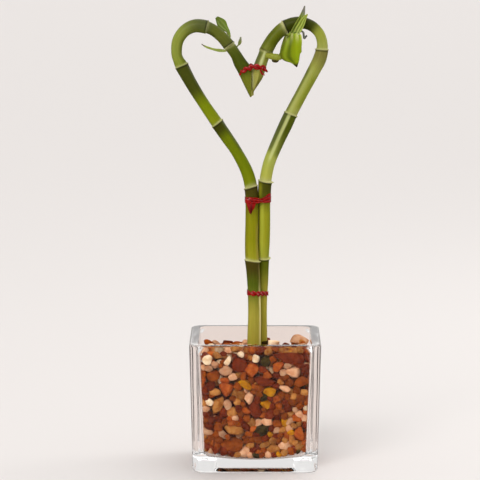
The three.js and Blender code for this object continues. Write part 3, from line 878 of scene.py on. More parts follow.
@dataclass(frozen=True)
class Gravel:
    """Loose stones that fill the vase: spheres shaken into place, then each cut and stretched to a stone."""

    vase: Vase
    stalk_holes: tuple[Point, ...]  # x, y and radius
    rng: np.random.Generator = field(default_factory=lambda: np.random.default_rng(SEED))
    level: float = 86.0
    fine: tuple[float, float] = (2.1, 4.2)  # radii against the glass at the bottom
    coarse: tuple[float, float] = (2.2, 4.6)  # and near the top
    inner: tuple[float, float] = (4.6, 6.4)  # radii in the middle of the fill
    shell: tuple[float, float] = (5.0, 13.0)  # depths behind the glass between which the stones grow
    solid_share: float = 0.70
    falling: int = 14000  # spheres to draw from
    common_radius: float = 2.6  # larger ones are drawn less often
    sweeps: int = 90
    sink: float = 0.06  # fall in each sweep
    give: float = 0.38  # share of an overlap that each sweep undoes
    pairing: int = 10  # sweeps between two searches for neighbours
    pair_gap: float = 1.6  # gap up to which two spheres count as neighbours
    batch: int = 1000  # spheres whose neighbours are searched for at once
    axes: tuple[tuple[float, float], ...] = ((1.25, 1.75), (1.08, 1.35), (0.75, 0.98))  # half axes by radius
    wall_reach: float = 1.8  # distance from the glass, by radius, below which a stone lies against it
    wall_pull: float = 3.2  # how strongly its flat side then turns to the glass
    top_depth: float = 5.0  # depth below the level above which a stone lies on top
    top_pull: float = 2.4  # how strongly its flat side then turns up
    planes: int = 10
    cuts: tuple[float, float] = (0.5, 0.88)  # distances of the cutting planes from the middle, by radius
    flatness: float = 0.94  # how far a cut goes towards its plane
    front_depth: float = 0.8  # half depth of a chosen stone, by its half height
    front_gap: float = 0.25  # room between the glass and the loose stones
    pale_share: float = 0.3  # of the stones at the top left
    front: tuple[FrontStone, ...] = tuple(
        FrontStone(*numbers, StoneKind[kind])
        for *numbers, kind in (
            (26.3, 87.2, 13.5, 5.0, -6, "DARK_RED"), (29.3, 76.5, 6.2, 4.9, 0, "PINK"),
            (16.6, 80.2, 6.6, 4.0, 42, "ORANGE"), (7.7, 85.0, 4.2, 4.8, 0, "OLIVE"),
            (-2.4, 77.8, 6.6, 5.3, 8, "ORANGE"), (-11.8, 82.4, 6.8, 6.6, 20, "DARK_RED"),
            (-7.4, 68.1, 6.4, 3.5, -38, "AMBER"), (11.9, 61.4, 6.4, 3.6, -4, "AMBER"),
            (-4.6, 56.4, 5.0, 3.7, 78, "PINK"), (0.5, 87.0, 3.2, 3.1, 0, "CREAM"),
            (-36.0, 86.0, 4.0, 3.8, 0, "CREAM"), (-20.9, 85.4, 4.2, 2.6, 70, "CREAM"),
            (-17.3, 73.1, 4.1, 3.0, -12, "PINK"), (-21.5, 63.6, 6.4, 5.8, 15, "ORANGE"),
            (7.6, 69.6, 9.0, 4.0, -6, "DARK_RED"), (22.2, 64.4, 5.2, 2.8, -12, "PINK"),
            (35.0, 69.0, 6.4, 4.6, 0, "BROWN"), (-16.7, 20.6, 10.6, 6.6, 0, "BROWN"),
            (-15.4, 31.6, 8.6, 5.0, -14, "TAN"), (13.6, 17.0, 5.9, 4.2, 0, "TAN"),
            (9.3, 38.9, 4.9, 3.7, -8, "PINK"), (0.2, 47.0, 6.8, 5.6, 74, "DARK_RED"),
            (-29.2, 50.5, 8.6, 4.8, 66, "TAN"), (33.2, 29.3, 6.2, 4.6, 80, "ORANGE"),
            (-31.0, 74.5, 6.0, 4.6, 35, "BROWN"),
        )
    )
    top: tuple[tuple[Point, Point, StoneKind, float], ...] = (  # places, half axes, kinds and tints
        ((33.2, 29.0, 89.2), (8.2, 6.0, 4.6), StoneKind.PINK, 0.4),
        ((13.3, -8.5, 91.9), (5.6, 4.0, 4.9), StoneKind.CREAM, 0.9),
        ((8.6, 2.4, 91.6), (3.6, 2.2, 1.9), StoneKind.OLIVE, 0.3),
    )

    def room(self, z: Array) -> Array:
        """Half-width of the room for stones at a height."""
        return self.vase.wall(z) - CLEARANCE

    def shaken(self) -> tuple[Array, Array]:
        """Places and radii of the loose spheres.

        Spheres fall in at random until they hold their share of the fill. In each sweep they sink a little,
        every overlapping pair is pushed apart along its line, and walls, floor and stalks push them back.

        Returns:
            Middles and radii of the spheres that lie in the fill.
        """
        low = self.vase.floor_height + 1.0
        volume = (2 * float(self.room(np.array(50.0)))) ** 2 * (self.level - low)
        start = self.rng.random((self.falling, 3)) * [2, 2, 1] - [1, 1, 0]
        z = low + start[:, 2] * (self.level + 1 - low)
        places = np.stack([start[:, 0] * self.room(z), start[:, 1] * self.room(z), z], axis=1)
        radii = self.radii_at(places, low)
        # A small stone stands for less volume than a large one, so it is drawn more often.
        kept = self.rng.random(self.falling) < np.clip((self.common_radius / radii) ** 3, 0.0, 1.0)
        places, radii = places[kept], radii[kept]
        held = np.cumsum(4.19 * radii**3) < volume * self.solid_share  # 4.19 is 4/3 pi
        places, radii = places[held], radii[held]
        fixed, fixed_radii = self.fixed_spheres()
        count = len(places)
        reach = np.concatenate([radii, fixed_radii])
        for sweep in range(self.sweeps):
            places[:, 2] -= self.sink
            everything = np.concatenate([places, fixed])
            if sweep % self.pairing == 0:
                one, other = self.close_pairs(everything, reach, count)
            gap = places[one] - everything[other]
            distance = np.linalg.norm(gap, axis=1) + 1e-4
            overlap = np.clip(radii[one] + reach[other] - distance, 0.0, None)
            push = gap * (self.give * overlap / distance)[:, None]
            places += np.stack([np.bincount(one, push[:, axis], count) for axis in range(3)], axis=1)
            self.keep_in(places, radii)
        log.info("gravel: %d loose stones", count)
        return places, radii

    def close_pairs(self, places: Array, radii: Array, count: int) -> tuple[Array, Array]:
        """Pairs of spheres that touch or nearly do.

        Args:
            places: Middles of all spheres, the loose ones first.
            radii: Their radii.
            count: Number of loose ones.

        Returns:
            Number of a loose sphere and of its neighbour, for each pair.
        """
        lengths = np.sum(places**2, axis=1)
        ones, others = [], []
        for start in range(0, count, self.batch):
            part = slice(start, min(start + self.batch, count))
            squared = lengths[part, None] + lengths[None, :] - 2 * places[part] @ places.T
            one, other = np.nonzero(squared < (radii[part, None] + radii[None, :] + self.pair_gap) ** 2)
            ones.append(one + start)
            others.append(other)
        one, other = np.concatenate(ones), np.concatenate(others)
        return one[one != other], other[one != other]

    def radii_at(self, places: Array, low: float) -> Array:
        """Radii drawn for places: small at the glass, larger inside and near the top.

        Args:
            places: Middles.
            low: Height of the lowest stones.

        Returns:
            One radius for each place.
        """
        z = places[:, 2]
        depth = self.room(z) - np.abs(places[:, :2]).max(axis=1)
        drawn = self.rng.random(len(places)) ** 1.7
        height = (z - low) / (self.level - low)
        least, most = (mix(fine, coarse, height) for fine, coarse in zip(self.fine, self.coarse))
        outer = mix(least, most, drawn)
        inward = smooth(*self.shell, np.minimum(np.minimum(depth, self.level + 5 - z), z - low + 3))
        return mix(outer, mix(*self.inner, drawn), inward)

    def front_y(self, stone: FrontStone) -> float:
        """Where the middle of a chosen stone lies behind the front glass."""
        return -float(self.room(np.array(stone.z))) + stone.tall * self.front_depth

    def fixed_spheres(self) -> tuple[Array, Array]:
        """Spheres that stand for the chosen stones: five along each one's length."""
        middles, radii = [], []
        for stone in self.front:
            reach = stone.wide - 0.8 * stone.tall
            angle = math.radians(stone.lean)
            for share in np.linspace(-1.0, 1.0, 5):
                x = stone.x + share * reach * math.cos(angle)
                middles.append([x, self.front_y(stone), stone.z + share * reach * math.sin(angle)])
                radii.append(stone.tall * 0.9)
        for place, half, _, _ in self.top:
            middles.append(list(place))
            radii.append(sum(half) / 3)
        return np.array(middles), np.array(radii)

    def keep_in(self, places: Array, radii: Array) -> None:
        """Pushes spheres back inside the glass and off the stalks.

        Args:
            places: Middles, changed in place.
            radii: Radii.
        """
        past = np.clip(self.vase.reach(places) - self.room(places[:, 2]) + radii, 0.0, None)
        places[:, :2] -= self.vase.outward(places) * past[:, None]
        places[:, 2] = np.maximum(places[:, 2], self.vase.floor_under(places) + CLEARANCE + 0.9 * radii)
        for x, y, radius in self.stalk_holes:
            away = places[:, :2] - np.array([x, y])
            distance = np.hypot(away[:, 0], away[:, 1]) + 1e-6
            push = np.clip(radius + CLEARANCE + radii - distance, 0.0, None) / distance
            places[:, :2] += away * push[:, None]

    def cut_stones(self, ball: Array, half: Array) -> Array:
        """Stones from a unit ball: its points past a few random planes move onto them, and it is stretched.

        Args:
            ball: Unit sphere's points.
            half: Half axes of each stone.

        Returns:
            Array of stones by points by 3, round their own middles.
        """
        shapes = np.repeat(ball[None], len(half), axis=0)
        for _ in range(self.planes):
            normal = unit(self.rng.normal(size=(len(half), 1, 3)))
            offset = self.rng.uniform(*self.cuts, (len(half), 1))
            past = np.clip(dot(shapes, normal) - offset, 0.0, None)
            shapes = shapes - self.flatness * past[..., None] * normal
        reach = np.abs(shapes).max(axis=1, keepdims=True)
        return shapes / reach * half[:, None, :]

    def settled(self, shapes: Array, gap: float) -> Array:
        """Stones moved bodily so that no point reaches into the glass, and so that outer ones lie against it.

        Each step moves a stone by the depth of its deepest point, square to the wall there, and then lifts it
        off the floor.

        Args:
            shapes: Array of stones by points by 3, changed in place.
            gap: Room left between the glass and the outer stones.

        Returns:
            The same stones in their final places.
        """
        each = np.arange(len(shapes))
        for _ in range(6):
            past = self.vase.reach(shapes) - self.room(shapes[..., 2])
            worst = past.argmax(axis=1)
            deepest = past[each, worst] + gap
            outward = self.vase.outward(shapes[each, worst])
            shift = np.where(deepest > -1.0 - gap, deepest, 0.0)
            shapes[..., :2] -= (outward * shift[:, None])[:, None, :]
            lift = (self.vase.floor_under(shapes) + CLEARANCE - shapes[..., 2]).max(axis=1)
            shapes[..., 2] += np.clip(lift, 0.0, None)[:, None]
        return shapes

    def loose_half_axes(self, places: Array, radii: Array) -> tuple[Array, Array]:
        """Half axes and turns of the loose stones: flat sides lie on the glass, and on top they lie level.

        Args:
            places: Middles.
            radii: Radii.

        Returns:
            Half axes, and one 3 by 3 matrix for each stone whose rows are its own axes.
        """
        count = len(places)
        half = radii[:, None] * np.stack([self.rng.uniform(*ends, count) for ends in self.axes], axis=1)
        wall = self.room(places[:, 2]) - np.abs(places[:, :2]).max(axis=1)
        across_x = np.abs(places[:, 0]) > np.abs(places[:, 1])
        normal = self.rng.normal(size=(count, 3))
        outward = np.where(across_x[:, None], [[1.0, 0.0, 0.0]], [[0.0, 1.0, 0.0]])
        near_wall = wall < radii * self.wall_reach
        near_top = places[:, 2] > self.level - self.top_depth
        normal = np.where(near_wall[:, None], outward * self.wall_pull + 0.5 * normal, normal)
        normal = np.where(near_top[:, None], np.array([[0, 0, self.top_pull]]) + 0.6 * normal, normal)
        third = unit(normal)
        first = unit(np.cross(third, self.rng.normal(size=(count, 3))))
        return half, np.stack([first, np.cross(third, first), third], axis=1)

    def colours(self, places: Array) -> Array:
        """Number of the kind of each loose stone; at the top left more of them are pale.

        Args:
            places: Middles.

        Returns:
            One number for each stone.
        """
        kinds, count = list(StoneKind), len(places)
        weights = np.array([kind.value[2] for kind in kinds])
        drawn = self.rng.choice(len(kinds), size=count, p=weights / weights.sum())
        pale_kinds = [kinds.index(StoneKind.PINK), kinds.index(StoneKind.CREAM)]
        pale = self.rng.choice(pale_kinds, size=count, p=[0.75, 0.25])
        chosen = self.rng.random(count) < self.pale_share
        return np.where(chosen & (places[:, 0] < 0) & (places[:, 2] > self.level - 7), pale, drawn)

    def surfaces(self) -> dict[StoneKind, Surface]:
        """All stones, gathered by colour."""
        places, radii = self.shaken()
        half, axes = self.loose_half_axes(places, radii)
        ball, faces = ball_mesh(2)
        shapes = np.einsum("spk,skj->spj", self.cut_stones(ball, half), axes) + places[:, None, :]
        shapes = self.settled(shapes, self.front_gap)
        drawn = self.colours(places)
        parts: dict[StoneKind, list[Surface]] = {kind: [] for kind in StoneKind}
        for number, kind in enumerate(StoneKind):
            parts[kind].append(self.gathered(shapes[drawn == number], faces))
        fine_ball, fine_faces = ball_mesh(3)
        for stone in self.front:
            depth = stone.tall * self.front_depth
            shape = self.cut_stones(fine_ball, np.array([[stone.wide, 1.0, stone.tall]]))
            # A power below 1 flattens its face towards the glass.
            shape[..., 1] = depth * np.sign(shape[..., 1]) * np.abs(shape[..., 1]) ** 0.6
            angle = math.radians(stone.lean)
            cos, sin = math.cos(angle), math.sin(angle)
            shape = shape @ np.array([[cos, 0, sin], [0, 1, 0], [-sin, 0, cos]])
            shape = self.settled(shape + np.array([stone.x, self.front_y(stone), stone.z]), 0.0)
            parts[stone.kind].append(self.gathered(shape, fine_faces, stone.kind.chosen_tint))
        for place, half_axes, kind, tint in self.top:
            shape = self.cut_stones(fine_ball, np.array([half_axes])) + np.array(place)
            parts[kind].append(self.gathered(self.settled(shape, 0.0), fine_faces, tint))
        return {kind: Surface.joined(group) for kind, group in parts.items()}

    def gathered(self, shapes: Array, faces: Array, tint: float | None = None) -> Surface:
        """Many stones as one surface, each with a tint of its own and its own place in the mottle.

        Args:
            shapes: Array of stones by points by 3.
            faces: Triangles of one stone.
            tint: How light they are, drawn at random where it isn't given.

        Returns:
            The stones' surface.
        """
        count, size = shapes.shape[:2]
        starts = np.arange(count)[:, None, None] * size
        skin = (shapes - shapes.mean(axis=1, keepdims=True)) * MM + self.rng.random((count, 1, 3))
        tints = np.repeat(self.rng.random(count) if tint is None else np.full(count, tint), size)
        corners = (faces[None] + starts).reshape(-1, 3)
        return Surface(shapes.reshape(-1, 3), [corners], {"skin": skin.reshape(-1, 3), "tint": tints})


def ball_mesh(subdivisions: int) -> tuple[Array, Array]:
    """Unit ball of even triangles: an icosahedron whose edges are halved and pushed out to the sphere.

    Args:
        subdivisions: 1 gives 20 faces, 2 gives 80 and 3 gives 320.

    Returns:
        Points and triangles.
    """
    golden = (1 + math.sqrt(5)) / 2
    points = [[-1, golden, 0], [1, golden, 0], [-1, -golden, 0], [1, -golden, 0]]
    points = points + [[0, *p[:2]] for p in points] + [[p[1], 0, p[0]] for p in points]
    corners = unit(np.array(points, float))
    gaps = np.linalg.norm(corners[:, None] - corners[None], axis=2)
    near = (gaps > 0.1) & (gaps < 1.1)
    faces = []
    for a, b, c in combinations(range(12), 3):
        if near[a, b] and near[b, c] and near[a, c]:
            outward = np.dot(np.cross(corners[b] - corners[a], corners[c] - corners[a]), corners[a]) > 0
            faces.append([a, b, c] if outward else [a, c, b])
    triangles = np.array(faces)
    for _ in range(subdivisions - 1):
        edges = np.sort(triangles[:, [[0, 1], [1, 2], [2, 0]]].reshape(-1, 2), axis=1)
        unique, which = np.unique(edges, axis=0, return_inverse=True)
        middles = which.reshape(-1, 3) + len(corners)
        corners = np.concatenate([corners, unit(corners[unique].mean(axis=1))])
        a, b, c = triangles.T
        ab, bc, ca = middles.T
        quarters = ((a, ab, ca), (ab, b, bc), (ca, bc, c), (ab, bc, ca))
        triangles = np.concatenate([np.stack(quarter, axis=1) for quarter in quarters])
    return corners, triangles


# ---- stalks


@dataclass(frozen=True)
class StalkNode:
    """A ring round a stalk, where a leaf once grew."""

    near: tuple[float, float]  # x and z of a place beside it
    lean: float  # how far the ring leans, in degrees
    turn: float  # turn round the stalk at which it leans up, in degrees
    pale: float  # how pale the ring is
    lip: float = 0.15  # extra height of the ring where it stands out most
    lip_turn: float = 180.0  # turn round the stalk of that place, in degrees
    flare: float = 0.4  # how much wider the stalk grows towards the node from below
    band: float = 1.1  # height of the pale band above the ring


@dataclass(frozen=True)
class Internode:
    """Colours of a length of stalk between two nodes."""

    low: str  # just above the lower node
    body: str  # along its middle
    top: str  # below the upper node
    turn: float  # share of its length at which the body's colour begins to turn to the top's
    reach: float  # share at which it has turned


@dataclass(frozen=True)
class ColourAndLightStreak:
    """A lengthwise streak on one length of a stalk: most are painted highlights and painted shade down its
    sides, a few the stalk's own colour.
    """

    length: int  # number of the length between two nodes, from the bottom
    start: float  # share of the length at which the streak begins
    end: float  # share at which it ends
    turn: float  # of its middle round the stalk, in degrees: 90 right, 180 front, 270 left
    width: float  # half-width, in degrees
    colour: str  # its colour
    strength: float  # how much it covers


@dataclass(frozen=True)
class Stalk:
    """One bamboo stalk: a round section along its line, with rings, and cut off at the heart's seam."""

    name: str
    line: Line
    nodes: tuple[StalkNode, ...]
    lengths: tuple[Internode, ...]
    keep: int  # -1 keeps what lies left of the seam, and 1 keeps the right
    face: bool = False  # whether the tip has the pale cut on its front
    sides: int = 72
    step: float = 1.3  # between rows
    fine_step: float = 0.16  # between rows near a node
    fine_reach: float = 2.6  # how near that is
    usual_radius: float = 4.6  # of a stalk at its rings
    ring_height: float = 0.42
    ring_width: float = 0.42
    lip_width: float = 0.8
    flare_length: float = 3.4
    groove: float = 0.12
    groove_above: float = 0.95
    groove_width: float = 0.4
    painted_shadow_below: float = 1.0  # how far below each ring its painted shadow lies
    painted_shadow_width: float = 0.6
    shade: float = 0.65  # how dark that painted shadow is
    seam_x: float = -2.1
    seam_slant: float = 0.22  # how far the cut leans to the right per millimetre backwards
    tip_length: float = 34.0  # from the tip back to where the rows are drawn out to the seam
    tip_rows: int = 46
    face_point: Point = (-0.2, -3.0, 292.0)
    face_turn: float = -28.0
    face_top: float = 300.6
    # streaks along the stalk, most of them painted highlights and painted shade
    streaks: tuple[ColourAndLightStreak, ...] = ()
    painted_rim_highlight: float = 0.0  # painted highlight: how pale the skin is painted along the cut's edge
    rim_highlight_width: float = 3.4
    rim_highlight_fade: tuple[float, float] = (285.0, 290.0)  # heights between which that painted highlight begins

    @cached_property
    def spline(self) -> Spline:
        """The stalk's middle line, with the radius as its fourth number."""
        return Spline(self.line)

    def of_nodes(self, key: str) -> Array:
        """One of the nodes' numbers, for each of them."""
        return np.array([getattr(node, key) for node in self.nodes])

    @cached_property
    def node_distances(self) -> Array:
        """Distance along the stalk of each node."""
        return np.array([self.spline.nearest(*node.near) for node in self.nodes])

    def from_nodes(self, distance: Array, angle: Array) -> Array:
        """Distance above each node's leaning ring: distance - node - radius tan(lean) cos(angle - turn)."""
        lean, turn = np.radians(self.of_nodes("lean")), np.radians(self.of_nodes("turn"))
        rise = self.usual_radius * np.tan(lean) * np.cos(angle[..., None] - turn)
        return distance[..., None] - self.node_distances - rise

    def points(self, distance: Array, angle: Array) -> Array:
        """Points of the stalk's skin.

        The radius is the line's own, with a swelling that grows towards each node from below, a rounded ring
        at the node and a shallow groove above it. Points in front of the pale face's plane move onto it.

        Args:
            distance: Distance along the stalk of each point.
            angle: Turn round it of each point.

        Returns:
            Array of the given shape by 3.
        """
        above = self.from_nodes(distance, angle)
        tall = self.ring_height * (1 + 0.2 * np.sin(3 * angle[..., None] + self.node_distances))
        aside = np.cos(angle[..., None] - np.radians(self.of_nodes("lip_turn")))
        lip = self.of_nodes("lip") * np.exp(aside * 3 - 3)
        ring = tall * bell(above, self.ring_width) + lip * bell(above, self.lip_width)
        below = np.exp(np.minimum(above, 0) / self.flare_length)
        swell = np.where(above < 0, self.of_nodes("flare") * below, 0.0)
        groove = self.groove * bell(above - self.groove_above, self.groove_width)
        radius = self.spline.at_distance(distance)[..., 3] + (ring + swell - groove).sum(axis=-1)
        points = round_section(self.spline, distance, angle, radius)
        if self.face:
            points[..., 1] += self.face_depth(points) / self.face_normal()[1]
        return points

    def face_normal(self) -> Array:
        """Direction into the stalk, square to the pale face."""
        angle = math.radians(self.face_turn)
        return np.array([-math.sin(angle), math.cos(angle), 0.0])

    def face_depth(self, points: Array) -> Array:
        """How far a point in front of the pale face's plane has to move in, fading out at the face's top."""
        depth = dot(points - np.array(self.face_point), self.face_normal())
        near_tip = 1 - smooth(self.face_top - 2.0, self.face_top, points[..., 2])
        return np.clip(-depth, 0.0, None) * near_tip

    def cut_distances(self, start: float, angles: Array) -> Array:
        """Distance at which each line along the skin first meets the seam, found between samples.

        Args:
            start: Distance at which the search begins.
            angles: Turn round the stalk of each line.

        Returns:
            One distance for each line.
        """
        samples = np.linspace(start, self.spline.length, 500)
        distance, angle = np.meshgrid(samples, angles, indexing="ij")
        points = self.points(distance, angle)
        edge = self.seam_x + self.keep * TOUCH / 2 + self.seam_slant * points[..., 1]
        past = self.keep * (edge - points[..., 0])
        first = np.argmax(past > 0, axis=0)
        first = np.where(past.max(axis=0) > 0, np.maximum(first, 1), len(samples) - 1)
        columns = np.arange(len(angles))
        before, after = past[first - 1, columns], past[first, columns]
        share = np.clip(-before / np.where(after - before == 0, 1, after - before), 0.0, 1.0)
        return mix(samples[first - 1], samples[first], share)

    def rows(self, end: float) -> Array:
        """Row distances up to the tip: even steps, and fine ones near each node.

        Args:
            end: Distance of the last row.

        Returns:
            Distances from the root.
        """
        even = np.arange(0.0, end, self.step)
        reach = self.fine_reach
        nodes = self.node_distances[self.node_distances < end - 3]
        fine = [node + np.arange(-reach, reach, self.fine_step) for node in nodes]
        rows = np.unique(np.round(np.concatenate([even, *fine, [end]]), 3))
        keep = np.concatenate([[True], np.diff(rows) > 0.05])
        return rows[keep & (rows <= end)]

    def tones(self, distance: Array, angle: Array) -> Array:
        """Colour of each point: low, then body, then top along its length, with a painted shadow just below
        each ring and streaks that are mostly painted highlights and painted shade.

        The shares along a length run between its two leaning rings.

        Args:
            distance: Distance along the stalk of each point.
            angle: Turn round it of each point.

        Returns:
            Array of the given shape by 4.
        """
        above = self.from_nodes(distance, angle)
        which = (above > 0).sum(axis=-1)
        ends = [distance[..., None], above, (distance - self.spline.length)[..., None]]
        padded = np.concatenate(ends, axis=-1)
        past = np.take_along_axis(padded, which[..., None], axis=-1)
        ahead = np.take_along_axis(padded, which[..., None] + 1, axis=-1)
        share = past / (past - ahead)
        low, body, top = (
            np.array([linear(getattr(item, key)) for item in self.lengths])[which]
            for key in ("low", "body", "top")
        )
        turn, reach = (
            np.array([getattr(item, key) for item in self.lengths])[which][..., None]
            for key in ("turn", "reach")
        )
        tone = mix(mix(low, body, smooth(0.0, 0.3, share)), top, smooth(turn, reach, share))
        # Painted shadow: a dark band just below each ring's lip.
        band = bell(above + self.painted_shadow_below, self.painted_shadow_width).max(axis=-1)[..., None]
        tone = tone * (1 - band * np.array([self.shade, self.shade, self.shade, 0]))
        # Streaks: most are painted highlights and painted shade down the stalk's sides.
        for streak in self.streaks:
            aside = np.angle(np.exp(1j * (angle - math.radians(streak.turn)))) / math.radians(streak.width)
            along = smooth(streak.start - 0.06, streak.start + 0.06, share[..., 0])
            along = along * smooth(streak.end + 0.06, streak.end - 0.06, share[..., 0])
            cover = streak.strength * np.exp(-(aside**4)) * along * (which == streak.length)
            tone = mix(tone, np.array(linear(streak.colour)), cover[..., None])
        return tone

    def surface(self) -> Surface:
        """The whole stalk, its last rows drawn out to the seam along each line of its skin."""
        spline = self.spline
        start = spline.length - self.tip_length
        angles = turns(self.sides)
        body, angle = np.meshgrid(self.rows(start), angles, indexing="ij")
        reach = self.cut_distances(start, angles)
        shares = np.concatenate([np.linspace(0.0, 0.97, self.tip_rows)[1:], [0.985, 0.997, 1.0]])[:, None]
        tip = mix(start, reach[None, :], shares)
        distance = np.concatenate([body, tip])
        angle = np.concatenate([angle, np.repeat(angles[None], len(tip), axis=0)])
        points = self.points(distance, angle)
        radius = spline.at_distance(distance)[..., 3]
        skin = tube_skin(radius, angle, distance)
        above = self.from_nodes(distance, angle)
        width = np.where(above > 0, self.of_nodes("band"), 0.5)
        ring = (self.of_nodes("pale") * bell(above, width)).max(axis=-1)
        ring = ring * (0.8 + 0.2 * np.sin(2 * angle + distance))
        # Painted highlight along the cut's edge, held in the ring attribute.
        rim = self.painted_rim_highlight * bell(reach[None, :] - tip, self.rim_highlight_width)
        rim = rim * smooth(*self.rim_highlight_fade, points[-len(tip) :, :, 2])
        ring[-len(tip) :] = np.maximum(ring[-len(tip) :], rim)
        cut = np.zeros_like(ring)
        if self.face:
            plain = round_section(spline, distance, angle, radius)
            cut = smooth(0.02, 0.25, self.face_depth(plain))
        cut[-len(tip) :] *= 1 - rim
        cut[-1] = 1.0
        values = {"skin": skin, "tone": self.tones(distance, angle), "ring": ring, "cut": cut}
        return closed_tube(points, values)


def left_stalk() -> Stalk:
    """The stalk of the heart's left lobe."""
    return Stalk(
        name="stalk_left",
        keep=-1,
        line=(
            (-0.9, -2.2, 26, 5.1), (-0.9, -2.2, 60, 5.15), (-0.8, -2.2, 96, 5.2), (-0.5, -2.2, 112, 4.95),
            (-0.7, -2.2, 128, 4.85), (-1.3, -2.1, 143, 5.05), (-2.4, -2, 158, 5.2), (-2.8, -1.5, 170, 5.02),
            (-2.6, -1.6, 185, 4.9), (-2.5, -1.5, 200, 4.9), (-3.25, -1, 212.3, 4.78), (-6.1, 0, 223.5, 4.65),
            (-13.7, 0, 238.5, 4.3), (-23, 0, 252.3, 4.65), (-28.9, 0, 261, 4.55), (-38.6, 0, 275.2, 4.25),
            (-47.5, 0, 289.4, 4.5), (-55.8, 0, 304.5, 4.8), (-58.4, 0, 309.6, 4.1), (-59.5, 0, 313.6, 4.05),
            (-58.6, 0, 323.3, 4.35), (-53.7, 0, 330.7, 4.6), (-46.6, 0, 334.5, 4.95), (-39.7, 0, 334.4, 5.0),
            (-33, 0, 332.2, 4.35), (-26.2, 0, 327.2, 4.3), (-19.7, 0, 319.8, 4.25), (-14.8, 0, 313, 4.15),
            (-11.5, 0, 306.8, 4.9), (-7.8, 0, 301, 5.4), (-4.2, 0, 293.1, 5.25), (0.4, 0, 282.6, 4.7),
        ),
        nodes=(
            StalkNode((-2.2, 156.0), 14, -90, pale=0.95, lip=0.7, lip_turn=105, flare=0.5, band=1.4),
            StalkNode((-3.3, 212.3), -10, -90, pale=1.0, lip=0.3, lip_turn=250, flare=0.5, band=1.9),
            StalkNode((-28.9, 261), 4, 90, pale=0.75, lip=0.25, lip_turn=90),
            StalkNode((-56.1, 304.6), 5, -90, pale=0.6, lip=0.2, lip_turn=90),
            StalkNode((-36.4, 334), 3, 90, pale=0.35),
            StalkNode((-19.7, 319.8), 4, -90, pale=0.8, flare=0.5, band=1.4),
        ),
        lengths=tuple(
            Internode(*numbers)
            for numbers in (
                ("b8a84a", "a49a3c", "505c0e", 0.66, 0.87), ("949020", "86840c", "443e0c", 0.5, 0.92),
                ("717a04", "687402", "3a3c04", 0.72, 0.93), ("7c8412", "727e04", "42460e", 0.3, 0.62),
                ("7e862e", "848c3a", "50562a", 0.45, 0.9), ("545a2a", "595e20", "505420", 0.6, 1.0),
                ("545c1c", "424a0a", "6a6e1c", 0.5, 0.7),
            )
        ),
        # The pale strip at 112 degrees on length 0, with its duller end, is a painted highlight; the dark
        # streaks on the sides of lengths 1, 2, 4 and 5 are painted shade.
        streaks=tuple(
            ColourAndLightStreak(*numbers)
            for numbers in (
                (0, 0.91, 1.1, 180, 400, "443a0c", 0.95), (0, -1.0, 0.85, 112, 20, "e8dc98", 1.0),
                (0, 0.8, 0.97, 112, 14, "8c8040", 0.7), (1, 0.0, 0.9, 245, 34, "6a660c", 0.5),
                (1, 0.0, 0.5, 118, 22, "9c8c40", 0.6), (2, 0.5, 1.0, 112, 34, "444c12", 0.65),
                (4, 0.0, 1.0, 110, 45, "565e10", 0.6), (5, 0.0, 0.4, 110, 45, "3c4008", 0.6),
            )
        ),
    )


